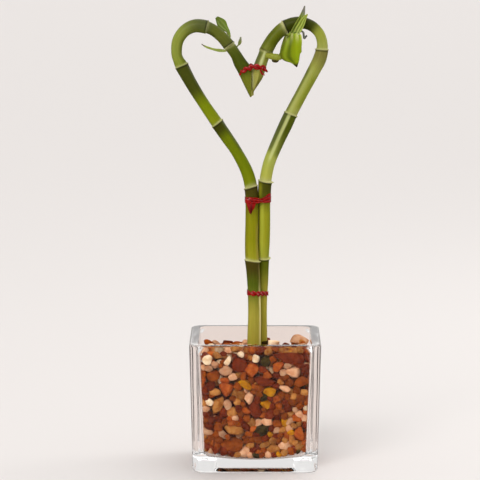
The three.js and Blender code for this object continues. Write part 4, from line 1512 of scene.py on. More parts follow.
def right_stalk() -> Stalk:
    """The stalk of the heart's right lobe."""
    return Stalk(
        name="stalk_right",
        keep=1,
        face=True,
        painted_rim_highlight=1.0,
        line=(
            (4.9, 6, 26, 4.4), (4.9, 6, 60, 4.4), (4.9, 6, 96, 4.4), (4.6, 6, 112, 4.45), (4.8, 6, 126, 4.45),
            (5.5, 5.3, 140, 4.6), (6.0, 4.3, 157, 4.5), (6.6, 2.9, 170, 4.58), (6.9, 2.2, 185, 4.6),
            (6.9, 1.7, 200, 4.6), (7.1, 1.4, 209, 4.88), (7.6, 1.0, 216, 4.6), (10.6, 0, 230.7, 4.55),
            (16.9, 0, 246.3, 4.8), (23.8, 0, 261.3, 5.1), (26.9, 0, 268, 4.75), (36.2, 0, 285.7, 4.65),
            (43.9, 0, 300.2, 4.9), (48.9, 0, 310.4, 5.05), (50.7, 0, 320.5, 4.1), (48.3, 0, 329, 3.85),
            (42, 0, 335, 4.1), (32.6, 0, 337.2, 4.55), (22.7, 0, 333.8, 5.0), (14.8, 0, 326.8, 4.85),
            (9.4, 0, 318.4, 4.9), (5.9, 0, 310.9, 4.45), (3.5, 0, 304.2, 4.75), (1.5, 0, 297.8, 4.7),
            (-2.7, 0, 290.6, 4.4), (-7.6, 0, 283, 4.3),
        ),
        nodes=(
            StalkNode((6.0, 157.3), 8, 0, pale=0.9, lip=0.7, lip_turn=90, flare=0.5, band=1.4),
            StalkNode((7.7, 216.8), 2, -90, pale=1.0, lip=0.75, lip_turn=90, flare=0.9, band=2.4),
            StalkNode((26.8, 268.2), 4, 90, pale=0.7, lip=0.25, lip_turn=90),
            StalkNode((50.1, 317.1), 5, 90, pale=0.8, lip=0.45, lip_turn=270),
            StalkNode((22.4, 333.4), 5, -90, pale=0.95, lip=0.5, band=1.6),
            StalkNode((7.7, 315.8), 6, 90, pale=0.45, lip=0.3, lip_turn=90),
        ),
        lengths=tuple(
            Internode(*numbers)
            for numbers in (
                ("b4a44a", "a89e38", "565e08", 0.76, 0.97), ("9c9c34", "93911f", "46460a", 0.52, 0.9),
                ("a8a848", "a0a64e", "485008", 0.3, 0.8), ("9a9c50", "909442", "7c763a", 0.65, 0.95),
                ("9a9c4e", "90953a", "3a400a", 0.3, 0.5), ("6c702e", "5c6412", "70762a", 0.6, 0.95),
                ("787c24", "84863a", "6a6420", 0.35, 0.8),
            )
        ),
        # Painted highlights: the pale streaks at 190 to 205 degrees on lengths 1 to 3, and at 178 on length 6
        # beside the cut. Painted shade: the dark streaks down the sides, at 110 to 140 and 236 to 245
        # degrees.
        streaks=tuple(
            ColourAndLightStreak(*numbers)
            for numbers in (
                (1, 0.8, 0.97, 236, 32, "8c8a20", 0.85), (1, 0.0, 0.75, 205, 24, "acb03c", 0.6),
                (1, 0.0, 0.75, 120, 34, "7a8212", 0.55), (2, 0.42, 1.0, 238, 36, "50562a", 0.8),
                (2, 0.38, 1.0, 125, 40, "4e5806", 0.7), (2, 0.3, 1.0, 190, 15, "b8bc7c", 0.85),
                (3, 0.0, 0.7, 245, 30, "5e642c", 0.75), (3, 0.1, 0.6, 140, 30, "7a8414", 0.6),
                (3, 0.0, 0.7, 203, 20, "a4a860", 0.5), (6, 0.0, 0.4, 178, 16, "c0c48c", 0.9),
                (6, 0.0, 0.4, 122, 38, "4e5630", 0.8), (5, 0.3, 1.0, 110, 40, "484e10", 0.5),
            )
        ),
    )


# ---- ties


RIBBON_LENGTH = 44.0  # length round the stalks over which a ribbon's pattern is laid out


@dataclass(frozen=True)
class Loop:
    """The path of a tie round two stalks: round each one, and straight from one to the other."""

    circles: tuple[Point, Point]  # x, y and radius of each stalk
    z: float  # height of the path
    arch: float  # fall of the path per square millimetre from arch_x
    arch_x: float  # where the path is highest

    def hull(self, share: Array) -> tuple[Array, Array, Array]:
        """Places at shares of the way round, starting at the right and running by the back.

        In each direction, the circle that reaches furthest gives the place; the shares are of the length.

        Args:
            share: Shares from 0 to 1.

        Returns:
            x, y and outward angle.
        """
        angle = np.linspace(0.0, 2 * math.pi, 2001)
        reach = np.stack([x * np.cos(angle) + y * np.sin(angle) + r for x, y, r in self.circles], axis=-1)
        circle = np.array(self.circles)[np.argmax(reach, axis=-1)]
        x = circle[:, 0] + circle[:, 2] * np.cos(angle)
        y = circle[:, 1] + circle[:, 2] * np.sin(angle)
        length = np.concatenate([[0.0], np.cumsum(np.hypot(np.diff(x), np.diff(y)))])
        place = share * length[-1]
        return tuple(np.interp(place, length, numbers) for numbers in (x, y, angle))

    def point(self, share: Array, off: Array, rise: Array) -> Array:
        """Points at a distance off the stalks' skin and a rise above the path.

        Args:
            share: Shares of the way round.
            off: Distance off the skin.
            rise: Height above the path.

        Returns:
            Array of the given shape by 3.
        """
        x, y, angle = self.hull(share)
        height = self.z - self.arch * (x - self.arch_x) ** 2 + rise
        return np.stack([x + off * np.cos(angle), y + off * np.sin(angle), height], axis=-1)


def ring_faces(rows: int, columns: int, shift: int = 0) -> Array:
    """Quads of a tube that closes on itself, its section turned by a number of columns after one round.

    Args:
        rows: Sections along the tube.
        columns: Points round each.
        shift: Columns by which the last section meets the first turned.

    Returns:
        Array of quads.
    """
    row, column = np.meshgrid(np.arange(rows), np.arange(columns), indexing="ij")
    next_row, next_column = (row + 1) % rows, (column + 1) % columns
    turned = np.where(next_row == 0, shift, 0)
    near, far = (column + turned) % columns, (next_column + turned) % columns
    here, there = row * columns, next_row * columns
    return np.stack([here + column, there + near, there + far, here + next_column], axis=-1).reshape(-1, 4)


@dataclass(frozen=True)
class TwistedTie:
    """A ribbon twisted into a cord and wound round both stalks, pressed against them."""

    name: str
    loop: Loop
    wide: float  # half width of the twisted ribbon
    thick: float = 1.3  # half thickness
    press: float = 0.42  # share of its depth that the cord keeps against the stalks
    half_turns: int = 11
    ends: tuple[Line, ...] = ()  # places and radii of loose ends
    rows: int = 420
    end_rows: int = 30
    sides: int = 24

    def surface(self) -> Surface:
        """The cord round the stalks, with its loose ends."""
        return Surface.joined([self.cord()] + [self.loose_end(end) for end in self.ends])

    def cord(self) -> Surface:
        """A two-lobed section that turns as it goes round.

        At a turn t the section's point (wide cos q, thick sin q (1 + 0.45 cos 2q)) is turned by t. Its first
        number is then the rise, and its second the distance off the stalks once it is pressed.
        """
        share, q = np.meshgrid(np.arange(self.rows) / self.rows, turns(self.sides), indexing="ij")
        twist = share * self.half_turns * math.pi + 0.3 * np.sin(6 * math.pi * share)
        flat, edge = self.wide * np.cos(q), self.thick * np.sin(q) * (1 + 0.45 * np.cos(2 * q))
        rise = flat * np.cos(twist) - edge * np.sin(twist)
        depth = flat * np.sin(twist) + edge * np.cos(twist)
        _, _, angle = self.loop.hull(share)
        press = self.press * (0.25 + 0.75 * np.abs(np.sin(angle)))
        off = np.maximum(TOUCH + press * (0.75 * self.wide + depth), TOUCH)
        skin = np.stack([flat, edge, share * RIBBON_LENGTH], axis=-1) * MM
        # Painted shade on the side of the cord that faces away, and in the groove between its two lobes.
        fold = 0.55 * smooth(0.5, 1.0, -np.sin(twist + q)) + 0.6 * bell(np.cos(q), 0.3)
        values = {"skin": skin.reshape(-1, 3), "fold": np.clip(fold, 0, 1).reshape(-1)}
        shift = self.sides // 2 if self.half_turns % 2 else 0
        faces = ring_faces(self.rows, self.sides, shift)
        return Surface(self.loop.point(share, off, rise).reshape(-1, 3), [faces], values)

    def loose_end(self, end: Line) -> Surface:
        """One of the cord's short ends: a tube with the twist's grooves.

        Args:
            end: Places and radii along it.

        Returns:
            The tube.
        """
        spline = Spline(end)
        rows = np.linspace(0.0, spline.length, self.end_rows)
        distance, angle = np.meshgrid(rows, turns(self.sides), indexing="ij")
        groove = smooth(0.4, 1.0, np.cos(2 * angle + distance * 1.6))
        radius = spline.at_distance(distance)[..., 3] * (1 - 0.25 * groove)
        # Painted shade in the grooves of the twist.
        values = {"skin": tube_skin(radius, angle, distance), "fold": 0.8 * groove}
        return closed_tube(round_section(spline, distance, angle, radius), values)


@dataclass(frozen=True)
class RibbonTie:
    """The flat ribbon under the fork, with its knot and hanging tail on the front of the left stalk."""

    name: str
    loop: Loop
    thick: float = 0.3
    rows: int = 360
    sides: int = 26
    half: float = 2.35  # half height of the band
    pinch_x: float = 3.7  # where the band is gathered between the stalks
    flare_x: float = 10.6  # where it spreads at the right
    reach: float = 2.6  # how far each of these goes along x
    knot: Point = (-3.8, -6.6, 202.6)
    knot_half: Point = (3.5, 1.35, 2.7)
    tail_top: float = 202.0
    tail_tip: float = 190.5
    tail_half: float = 3.9
    tail_middle: float = -3.1
    tail_y: float = -6.1
    tail_rows: int = 30
    tail_sides: int = 24

    def band(self) -> Surface:
        """A flat section carried round the loop: narrow at the pinch, spread at the right, and folded.

        At a turn q round the section, its rise goes with cos q. The folds are sine waves across the band, on
        its outer side only, and half as strong where the band lies at the loop's ends.
        """
        share, q = np.meshgrid(np.arange(self.rows) / self.rows, turns(self.sides), indexing="ij")
        x, _, angle = self.loop.hull(share)
        front = smooth(0.3, -0.3, np.sin(angle))
        pinch = bell(x - self.pinch_x, self.reach) * front
        flare = bell(x - self.flare_x, self.reach)
        tall = self.half - 0.75 * pinch + 1.15 * flare
        wave = np.sign(np.cos(q)) * np.abs(np.cos(q)) ** 0.8
        rise = tall * wave + 1.3 * flare - 0.2 * pinch
        folds = 0.24 * np.sin(7.5 * wave + 0.8 + 2.2 * pinch) + 0.1 * np.sin(15 * wave - 9 * share * math.pi)
        facing = np.abs(np.sin(angle))  # 1 at the front and back, and 0 at the sides
        outer = np.where(np.sin(q) > 0, (folds + 0.25) * (0.3 + 0.7 * facing) + 0.9 * pinch, 0.0)
        off = TOUCH + self.thick * (1 + np.sin(q)) * (0.45 + 0.55 * facing) + outer
        skin = np.stack([rise, off, share * RIBBON_LENGTH], axis=-1) * MM
        # Painted shade in the hollows between the folds.
        values = {"skin": skin.reshape(-1, 3), "fold": (smooth(0.02, 0.28, -folds) * 0.85).reshape(-1)}
        points = self.loop.point(share, np.maximum(off, TOUCH), rise)
        return Surface(points.reshape(-1, 3), [ring_faces(self.rows, self.sides)], values)

    def knot_lump(self) -> Surface:
        """The knot: an ellipsoid with a leaning and an upright groove, where the ribbon crosses itself."""
        points = ball_grid(26, 36)
        leaning = points[..., 0] * 0.75 + points[..., 2] * 0.66 - 0.1
        crease = bell(leaning, 0.16) + 0.7 * bell(points[..., 0] - 0.55, 0.13)
        shaped = points * (1 - 0.16 * crease)[..., None] * np.array(self.knot_half) + np.array(self.knot)
        skin = points * np.array(self.knot_half) * MM
        # Painted shade in the knot's grooves.
        return closed_tube(shaped, {"skin": skin, "fold": np.clip(crease, 0, 1) * 0.9})

    def tail(self) -> Surface:
        """The hanging end: a triangle folded down its middle, narrowing to its tip."""
        share = np.linspace(0.0, 1.0, self.tail_rows)[:, None]
        around = turns(self.tail_sides)[None, :]
        half = mix(self.tail_half, 0.3, share**1.25)
        across = np.cos(around) * half
        ridge = -0.75 * (1 - np.abs(np.cos(around))) * np.sin(math.pi * np.clip(share * 0.9 + 0.1, 0, 1))
        y = self.tail_y + ridge + 0.22 * np.sin(around) * (1 - 0.5 * share)
        z = mix(self.tail_top, self.tail_tip, share) + 0 * around
        points = np.stack([self.tail_middle + across, y + 0 * z, z], axis=-1)[::-1]
        skin = np.stack([across, 0 * z, z], axis=-1)[::-1] * MM
        # Painted shade along the middle fold, and darker towards the tip.
        shade = 0.6 * smooth(0.6, 0.0, np.abs(across) / np.maximum(half, 0.1)) + 0.7 * smooth(0.1, 0.8, share)
        fold = np.clip(shade + 0 * z, 0.0, 1.0)[::-1]
        return closed_tube(points, {"skin": skin, "fold": fold})

    def surface(self) -> Surface:
        """Band, knot and tail together."""
        return Surface.joined([self.band(), self.knot_lump(), self.tail()])


# ---- shoots and leaves


@dataclass(frozen=True)
class Leaf:
    """A thin blade: its section is an arc, rolled in, and carried along its spine."""

    name: str  # the piece's name
    spine: tuple[Point, ...]  # places from root to tip
    half: tuple[float, ...]  # flat half-width at each place, on the side away from across
    across: Point  # direction across the blade
    roll: float  # angle in radians through which each half of the blade is rolled in
    tones: tuple[str, str, str]  # colour at the root, middle and tip
    other: tuple[float, ...] = ()  # flat half-width on the side towards across, where it differs
    shade: float = 0.12  # painted light: how much lighter that side is painted, and the other darker
    pleat: float = -1.0  # share of the length at which the blade is pleated; below 0 nowhere
    ripple: float = 0.25  # height of the waves along its edges
    keel: float = 0.25  # depth of the fold along its middle
    keel_width: float = 0.14  # by the blade's half-width
    tip_share: float = 0.12  # share of the length that the tip's colour takes
    thick: float = 0.5
    rows: int = 90
    columns: int = 25
    painted_light_bands: tuple[tuple[float, float, str, float], ...] = ()  # painted highlights and painted shade in bands along the blade: middle, half-width, colour, strength
    pleats: float = 11.0  # waves across the blade, as radians from its middle to its edge
    pleat_depth: float = 0.7
    pleat_reach: float = 0.07  # share of the length over which they fade
    # colour of the painted highlight on the pleats' crests
    painted_crest_highlight: str = "b8bc74"

    def surface(self) -> Surface:
        """The blade's closed skin: out along its upper face and back along its lower one.

        At a place s from -1 to 1 across the blade and an offset o off its middle sheet, the point lies
        (half sin(roll s) / roll + o sin(roll s)) sideways and (half (1 - cos(roll s)) / roll - o cos(roll s))
        inwards. The offset narrows to nothing at both edges.
        """
        curve = Spline(self.spine)
        share = np.linspace(0.0, 1.0, self.rows)
        place = curve.at_share(share)
        before, after = (curve.at_share(np.clip(share + step, 0, 1)) for step in (-0.004, 0.004))
        along = unit(after - before)
        wide = np.array(self.across, float)
        side = unit(wide - along * dot(along, wide)[:, None])
        face = np.cross(along, side)
        around = turns(2 * self.columns)
        s = np.cos(around)[None, :]
        half = self.half_width(share, self.half)[:, None]
        if self.other:
            half = mix(half, self.half_width(share, self.other)[:, None], smooth(-0.3, 0.3, s))
        off = np.sign(np.sin(around))[None, :] * self.thick / 2 * (1 - np.abs(s) ** 4)
        angle = self.roll * s
        swell = np.sin(math.pi * share[:, None])
        wave = self.ripple * s**2 * np.sin(16 * share[:, None] + 2.0 * s) * swell
        wave = wave + self.pleat_depth * self.pleated(share, s) * np.sin(self.pleats * s)
        crease = self.keel * bell(s, self.keel_width) * swell
        sideways = half * np.sin(angle) / self.roll + off * np.sin(angle)
        inward = half * (1 - np.cos(angle)) / self.roll - off * np.cos(angle) + wave - crease
        points = place[:, None, :] + sideways[..., None] * side[:, None, :]
        points = points - inward[..., None] * face[:, None, :]
        skin = np.stack([half * s, 0 * half * s, share[:, None] * curve.length + 0 * s], axis=-1) * MM
        return closed_tube(points, {"skin": skin, "tone": self.toned(share, s)})

    @staticmethod
    def half_width(share: Array, given: tuple[float, ...]) -> Array:
        """Half-width along the blade: a smooth curve through the given ones."""
        curve = Spline([(i, 0.0, 0.0, value) for i, value in enumerate(given)])
        return np.maximum(curve.at_share(share)[:, 3], 0.12)

    def pleated(self, share: Array, s: Array) -> Array:
        """How strongly the blade is pleated at each place: a bump round the pleat's share."""
        return bell(share[:, None] - self.pleat, self.pleat_reach) * (self.pleat > 0) + 0 * s

    def toned(self, share: Array, s: Array) -> Array:
        """Colour from root to middle to tip, with painted highlights and painted shade in bands, one side
        painted lighter and the other darker, and a painted highlight on the pleats' crests.

        Args:
            share: Share of the length at each row.
            s: Place across the blade, from -1 to 1.

        Returns:
            Colours, rows by columns by 4.
        """
        root, middle, tip = (np.array(linear(code)) for code in self.tones)
        u = share[:, None, None]
        colour = mix(root, middle, smooth(0.0, 0.45, u))
        # Painted highlights and painted shade in bands along the blade.
        for middle_s, wide, code, strength in self.painted_light_bands:
            cover = strength * bell(s - middle_s + 0.06 * np.sin(9 * share[:, None]), wide)
            colour = mix(colour, np.array(linear(code)), cover[..., None])
        # Painted highlight on the crests of the pleats.
        painted_crest_highlight = (self.pleated(share, s) * (0.5 - 0.5 * np.sin(self.pleats * s)))[..., None]
        colour = mix(colour, np.array(linear(self.painted_crest_highlight)), 0.7 * painted_crest_highlight)
        colour = mix(colour, tip, smooth(1 - self.tip_share, 1 - self.tip_share * 0.3, u))
        # Painted light and shade: one side of the blade lighter, the other darker.
        return colour * (1 + self.shade * s[..., None] * np.array([1, 1, 1, 0]))


# Painted highlights and painted shade in bands along the rolled upright leaves.
BLADE_LIGHT_BANDS = (
    (-0.7, 0.12, "b0c060", 0.8), (-0.38, 0.13, "46581a", 0.8), (0.0, 0.1, "b0c060", 0.7),
    (0.36, 0.14, "4c5e1a", 0.8), (0.75, 0.12, "b4c468", 0.7),
)


def leaves() -> list[Leaf]:
    """All leaves of both shoots, the dry curl included."""
    return [
        Leaf(
            "leaf_left_thin",
            (
                (-20.6, 8.9, 317.2), (-22.6, 8.9, 315.3), (-25.8, 9, 315.3), (-30.2, 8.2, 316),
                (-34.4, 7, 317.2), (-38.1, 5.6, 318.8), (-40.8, 4.6, 320.7),
            ),
            (0.9, 1.1, 1.3, 1.2, 1, 0.75, 0.3), (0.1, 0.5, 1), 0.7, ("a8b060", "98a450", "6a5c44"),
            tip_share=0.18,
        ),
        Leaf(
            "leaf_left_broad",
            (
                (-20.2, 9.2, 321.6), (-19.9, 10.2, 326.3), (-20.9, 11, 329.9), (-22.9, 11.2, 332.3),
                (-26, 11, 336.3), (-29.5, 9.8, 340.7),
            ),
            (1.1, 1.3, 1.6, 2.6, 3.8, 1.3), (1, 0.2, 0.75), 0.5, ("8a9440", "6a7e30", "62742a"),
            shade=0.2, painted_light_bands=((-0.45, 0.14, "a4b068", 0.7), (0.35, 0.12, "98a458", 0.6)),
        ),
        Leaf(
            "leaf_left_tip",
            ((-18, 9, 320.2), (-15.4, 9.4, 318.4), (-13, 8.8, 319.6), (-12.1, 8, 322.6), (-11.2, 7, 326)),
            (0.8, 1.3, 1.8, 1.9, 0.9), (0.7, 0.4, 0.7), 0.8, ("a8ae60", "98a258", "a4a488"),
            tip_share=0.3,
        ),
        Leaf(
            "leaf_right_broad",
            (
                (19.6, -10.7, 312.2), (21.2, -10.5, 318.7), (23.6, -11.0, 324.7), (26.2, -12.3, 328.6),
                (28.1, -14.4, 329.4), (28.2, -16.0, 325), (27.6, -16.6, 319), (28.0, -16.0, 313.2),
                (30.0, -14.6, 308.6), (31.2, -13.4, 304.6),
            ),
            (1.9, 2.4, 3.2, 4.6, 5.8, 6.8, 8.2, 9.6, 4.0, 0.5), (1, 0.08, 0), 0.75,
            ("a0a850", "7e8e06", "30260e"), other=(1.9, 2.6, 3.8, 5.6, 7, 7.8, 8.2, 7.8, 3.8, 0.5),
            shade=0.26, pleat=0.49, ripple=0.3, keel=0.35, tip_share=0.1, rows=170, columns=41,
            painted_light_bands=(
                (-0.92, 0.16, "56620e", 0.8), (-0.58, 0.13, "98aa2c", 0.4), (-0.24, 0.18, "465802", 0.75),
                (0.4, 0.3, "94a80c", 0.35),
            ),
        ),
        Leaf(
            "leaf_right_spear",
            (
                (28.2, -7.7, 329.6), (30.9, -7.8, 333.5), (32.9, -7.4, 337.3), (35, -6.4, 342.5),
                (37.2, -4.6, 350.1),
            ),
            (3.2, 4.0, 3.7, 2.5, 0.45), (1, 0.2, -0.4), 1.1, ("98a450", "84902e", "6e6e60"),
            tip_share=0.3, shade=-0.2, painted_light_bands=BLADE_LIGHT_BANDS,
        ),
        Leaf(
            "leaf_right_sheath",
            ((31.3, -9.2, 329.8), (33.6, -9.1, 334.2), (36.1, -8, 339.2), (39.2, -6.4, 343.9)),
            (2.9, 3.3, 2.6, 0.5), (1, -0.2, -0.5), 1.1, ("a4ae5a", "8e9a34", "96a03c"),
            shade=-0.15, painted_light_bands=BLADE_LIGHT_BANDS,
        ),
        Leaf(
            "leaf_right_curl",
            ((34.1, -9.1, 331.6), (36, -8.8, 330.2), (36.3, -8.4, 328), (36.9, -8, 325.8), (38.8, -7.6, 328)),
            (0.9, 1, 0.9, 0.9, 0.4), (0, 1, 0), 0.5, ("7a7a70", "6a6c64", "4c4a46"),
            ripple=0.15, thick=1.4,
        ),
    ]


@dataclass(frozen=True)
class ShootStem:
    """A shoot's short stem, with faint rings where its leaves clasp it."""

    line: Line  # places and radii from root to tip
    tones: tuple[str, str]  # colour at the root and at the tip
    rings: tuple[float, ...] = ()  # shares of the length at which the rings lie
    sides: int = 28
    step: float = 0.35
    ring_height: float = 0.22
    ring_width: float = 0.5

    def surface(self) -> Surface:
        """A round tube along the line; each ring is a small bump in its radius."""
        spline = Spline(self.line)
        rows = np.linspace(0.0, spline.length, max(24, int(spline.length / self.step)))
        distance, angle = np.meshgrid(rows, turns(self.sides), indexing="ij")
        radius = spline.at_distance(distance)[..., 3]
        for ring in self.rings:
            radius = radius + self.ring_height * bell(distance - ring * spline.length, self.ring_width)
        low, high = (np.array(linear(code)) for code in self.tones)
        tone = mix(low, high, smooth(0.0, 1.0, distance / spline.length)[..., None])
        values = {"skin": tube_skin(radius, angle, distance), "tone": tone}
        return closed_tube(round_section(spline, distance, angle, radius), values)


@dataclass(frozen=True)
class Bud:
    """The dark dormant bud under the right shoot: an ellipsoid."""

    place: Point = (15.1, -8.5, 309.1)
    half: Point = (2.7, 1.5, 1.6)
    tone: str = "3c340c"

    def surface(self) -> Surface:
        """A unit ball, stretched and moved into place."""
        points = ball_grid() * np.array(self.half)
        tone = np.broadcast_to(np.array(linear(self.tone)), (*points.shape[:2], 4))
        return closed_tube(points + np.array(self.place), {"skin": points * MM, "tone": tone})


# ---- the whole plant


@dataclass(frozen=True)
class Plant:
    """Builds every piece in order."""

    home: Home
    effects: SharedEffects

    def build(self) -> None:
        """Glass, gravel, stalks, ties, shoots and leaves."""
        vase = Vase()
        left, right = left_stalk(), right_stalk()
        self.home.add("vase_glass", vase.surface(), GlassFinish().build(), "vase", "clear_glass")
        self.build_gravel(vase, left, right)
        finish = StalkFinish(self.effects).build()
        for stalk in (left, right):
            self.home.add(f"{stalk.name}_skin", stalk.surface(), finish, stalk.name, "bamboo_stalk")
        self.build_ties(left, right)
        self.build_shoots()

    def build_gravel(self, vase: Vase, left: Stalk, right: Stalk) -> None:
        """One piece for each colour of stone.

        Args:
            vase: The glass that holds it.
            left: The left stalk.
            right: The right stalk.
        """
        holes = tuple((stalk.line[0][0], stalk.line[0][1], stalk.line[2][3]) for stalk in (left, right))
        for kind, surface in Gravel(vase, holes).surfaces().items():
            low, high, _ = kind.value
            finish = StoneFinish(self.effects, kind.slug, low, high).build()
            self.home.add(kind.slug, surface, finish, "pebbles", "river_pebbles")

    def build_ties(self, left: Stalk, right: Stalk) -> None:
        """The three ties.

        Args:
            left: The left stalk.
            right: The right stalk.
        """

        def level(z: float, arch: float = 0.0, arch_x: float = 0.0) -> Loop:
            """Loop round both stalks at a height of their straight part.

            Args:
                z: The height.
                arch: How much the loop falls to its sides.
                arch_x: Where it is highest.

            Returns:
                The loop.
            """
            circles = []
            for stalk in (left, right):
                points = stalk.spline.at_share(stalk.spline.shares[: Spline.SAMPLES // 2])
                x, y, _, radius = points[np.argmin(np.abs(points[:, 2] - z))]
                circles.append((float(x), float(y), float(radius)))
            return Loop(tuple(circles), z, arch, arch_x)

        finish = TieFinish(self.effects).build()
        tip = Loop(((-6.3, 0.0, 5.5), (2.9, 0.0, 4.85)), z=304.2, arch=0.035, arch_x=0.3)
        loose = (
            ((6.2, -4.9, 302.6, 0.95), (7.9, -4.6, 301.5, 1.05), (9.2, -4.2, 300.1, 0.55)),
            (
                (3.4, -5.6, 302.8, 0.6), (4.4, -5.5, 300.3, 0.7), (5.7, -5.1, 298.5, 0.75),
                (7.0, -4.6, 297.9, 0.45),
            ),
        )
        ties = (
            TwistedTie("tie_lower", level(z=131.7, arch=0.0085, arch_x=-7.0), wide=2.1),
            RibbonTie("tie_upper", level(z=202.7)),
            TwistedTie("tie_tip", tip, wide=2.3, ends=loose),
        )
        for tie in ties:
            self.home.add(f"{tie.name}_ribbon", tie.surface(), finish, tie.name, "red_tie")

    def build_shoots(self) -> None:
        """Both shoots' stems, the bud and all leaves."""
        green = LivingFinish(self.effects, "leaf_green").build()
        dry = LivingFinish(self.effects, "dry_leaf", roughness=0.6, coat=0.0).build()
        short = ShootStem(
            ((-19.7, 4.9, 319.8, 1.9), (-19.7, 6.5, 319.9, 2), (-19.8, 8.1, 320, 1.5)), ("a0a85a", "8c9844")
        )
        long = ShootStem(
            (
                (8.7, -4.4, 312.6, 2.0), (11.8, -7.1, 312.2, 2.2), (14.9, -8.7, 311.9, 2.45),
                (18.7, -9.3, 311.9, 2.1), (21.2, -8.3, 317.8, 1.6), (23.8, -7.7, 324.5, 1.5),
                (27.4, -7.6, 330, 1.6),
            ),
            ("888c30", "808a36"),
            (0.16, 0.3, 0.42),
        )
        self.home.add("shoot_left_stem", short.surface(), green, "shoot_left", "leaf_green")
        stem = Surface.joined([long.surface(), Bud().surface()])
        self.home.add("shoot_right_stem", stem, green, "shoot_right", "leaf_green")
        for leaf in leaves():
            is_dry = leaf.name == "leaf_right_curl"
            finish, slot = (dry, "dry_leaf") if is_dry else (green, "leaf_green")
            self.home.add(f"{leaf.name}_blade", leaf.surface(), finish, leaf.name, slot)


# ---- studio


def aimed(aim: Array) -> Point:
    """Turns about x, y and z, in radians, that point a lamp along a direction."""
    yaw = math.atan2(aim[1], aim[0])
    tilt = math.atan2(-aim[2], math.hypot(aim[0], aim[1]))
    return (math.pi / 2 - tilt, 0.0, yaw - math.pi / 2)


@dataclass(frozen=True)
class SoftBox:
    """A large square lamp: place and target in metres, side in metres and power in watts."""

    name: str
    place: Point
    target: Point
    side: float
    power: float

    def build(self) -> None:
        """Makes the lamp, unseen by the camera itself."""
        lamp = bpy.data.lights.new(self.name, "AREA")
        lamp.shape = "SQUARE"
        lamp.size = self.side
        lamp.energy = self.power
        body = linked(self.name, lamp)
        body.location = self.place
        body.rotation_euler = aimed(np.array(self.target) - np.array(self.place))
        body.visible_camera = False


@dataclass(frozen=True)
class BroadLight:
    """Even light from a wide part of the sky: direction that it comes from, strength and width in degrees."""

    name: str
    source: Point
    strength: float
    width: float

    def build(self) -> None:
        """Makes the light."""
        lamp = bpy.data.lights.new(self.name, "SUN")
        lamp.energy = self.strength
        lamp.angle = math.radians(self.width)
        linked(self.name, lamp).rotation_euler = aimed(-np.array(self.source))


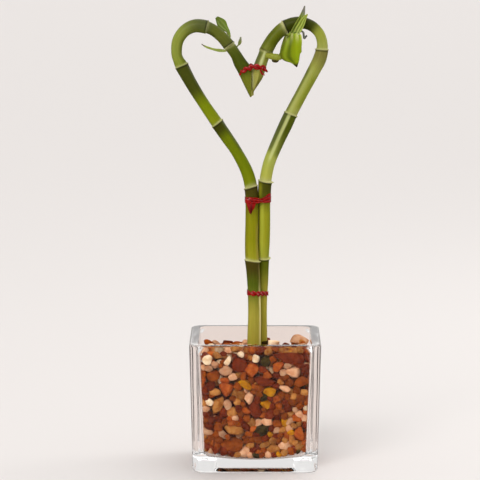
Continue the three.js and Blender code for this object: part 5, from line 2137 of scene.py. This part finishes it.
@dataclass(frozen=True)
class Studio:
    """Pale floor, soft light and the camera at the photograph's angle."""

    home: Home
    floor_colour: str = "e4dfdc"
    # painted: the floor's warmer colour where seen through glass, and its dark colour in reflections
    painted_through_glass_colour: str = "d8c8c0"
    painted_reflection_colour: str = "383634"
    world_colour: Colour = (1.0, 0.98, 0.97, 1.0)
    world_light: float = 0.4
    gathered_light: float = 0.4  # what glass adds to it
    mirrored_light: float = 0.55  # and a mirroring surface
    floor_half: float = 12.0
    floor_gap: float = 0.1  # millimetres between the floor and the glass foot
    camera_place: Point = (-0.8, -2129.7, 450.8)
    camera_pitch: float = 7.47  # degrees below level
    camera_yaw: float = -0.29  # degrees to the right
    focal_pixels: float = 2815.0
    frame_pixels: float = 480.0
    sensor: float = 36.0

    def build(self) -> None:
        """Builds everything round the plant."""
        self.build_camera()
        self.build_floor()
        self.build_light()

    def build_camera(self) -> None:
        """The camera, its lens from the focal length in pixels: lens = sensor * focal / frame."""
        camera = bpy.data.cameras.new("camera")
        camera.sensor_width = self.sensor
        camera.lens = self.sensor * self.focal_pixels / self.frame_pixels
        camera.clip_end = 100.0
        body = linked("camera", camera)
        body.location = self.home.place(np.array(self.camera_place))
        body.rotation_euler = (math.radians(90 - self.camera_pitch), 0.0, -math.radians(self.camera_yaw))
        bpy.context.scene.camera = body

    def build_floor(self) -> None:
        """A large plain floor, with a painted warmer colour where it is seen through glass and a painted dark
        colour where a surface mirrors it.
        """
        graph = MaterialGraph("floor")
        through, mirrored = graph.ray_kinds()
        # Painted tint through glass, and painted dark reflection.
        colour = graph.blend(through, linear(self.floor_colour), linear(self.painted_through_glass_colour))
        colour = graph.blend(mirrored, colour, linear(self.painted_reflection_colour))
        side = self.floor_half
        mesh = bpy.data.meshes.new("floor")
        level = -self.floor_gap * MM
        corners = [(-side, -side, level), (side, -side, level), (side, side, level), (-side, side, level)]
        mesh.from_pydata(corners, [], [(0, 1, 2, 3)])
        mesh.materials.append(graph.principled({"Base Color": colour, "Roughness": 0.55}))
        floor = linked("floor", mesh)

    def build_light(self) -> None:
        """Soft surroundings, brighter in glass, two broad lights for the whole floor, and two soft boxes."""
        world = bpy.data.worlds.new("studio")
        world.use_nodes = True
        background = world.node_tree.nodes["Background"]
        background.inputs["Color"].default_value = self.world_colour
        graph = Graph(world.node_tree)
        through, mirrored = graph.ray_kinds()
        plain = graph.maths("MULTIPLY_ADD", through, self.gathered_light, self.world_light)
        strength = graph.maths("MULTIPLY_ADD", mirrored, self.mirrored_light, plain)
        world.node_tree.links.new(strength, background.inputs["Strength"])
        bpy.context.scene.world = world
        middle = (0.0, 0.0, 0.18)
        BroadLight("front", (-0.35, -0.85, 0.6), strength=1.5, width=35.0).build()
        BroadLight("top", (0.3, 0.25, 1.0), strength=1.1, width=60.0).build()
        SoftBox("left", (-0.9, -1.3, 0.9), middle, side=0.5, power=4.0).build()
        SoftBox("right", (1.3, 0.5, 0.7), middle, side=0.6, power=5.0).build()


def set_up_scene() -> None:
    """Neutral colours, and enough bounces for light inside thick glass."""
    scene = bpy.context.scene
    scene.view_settings.view_transform = "Standard"
    scene.view_settings.look = "None"
    scene.cycles.max_bounces = 16
    scene.cycles.transmission_bounces = 14
    scene.cycles.transparent_max_bounces = 16
    scene.cycles.glossy_bounces = 6


def main() -> None:
    """Loads the frame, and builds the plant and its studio."""
    logging.basicConfig(level=logging.INFO, format="%(name)s: %(message)s", force=True)
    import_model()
    low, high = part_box("vase")
    home = Home(((low.x + high.x) / 2, (low.y + high.y) / 2, low.z))
    set_up_scene()
    Studio(home).build()
    Plant(home, SharedEffects.build()).build()


if __name__ == "__main__":
    main()
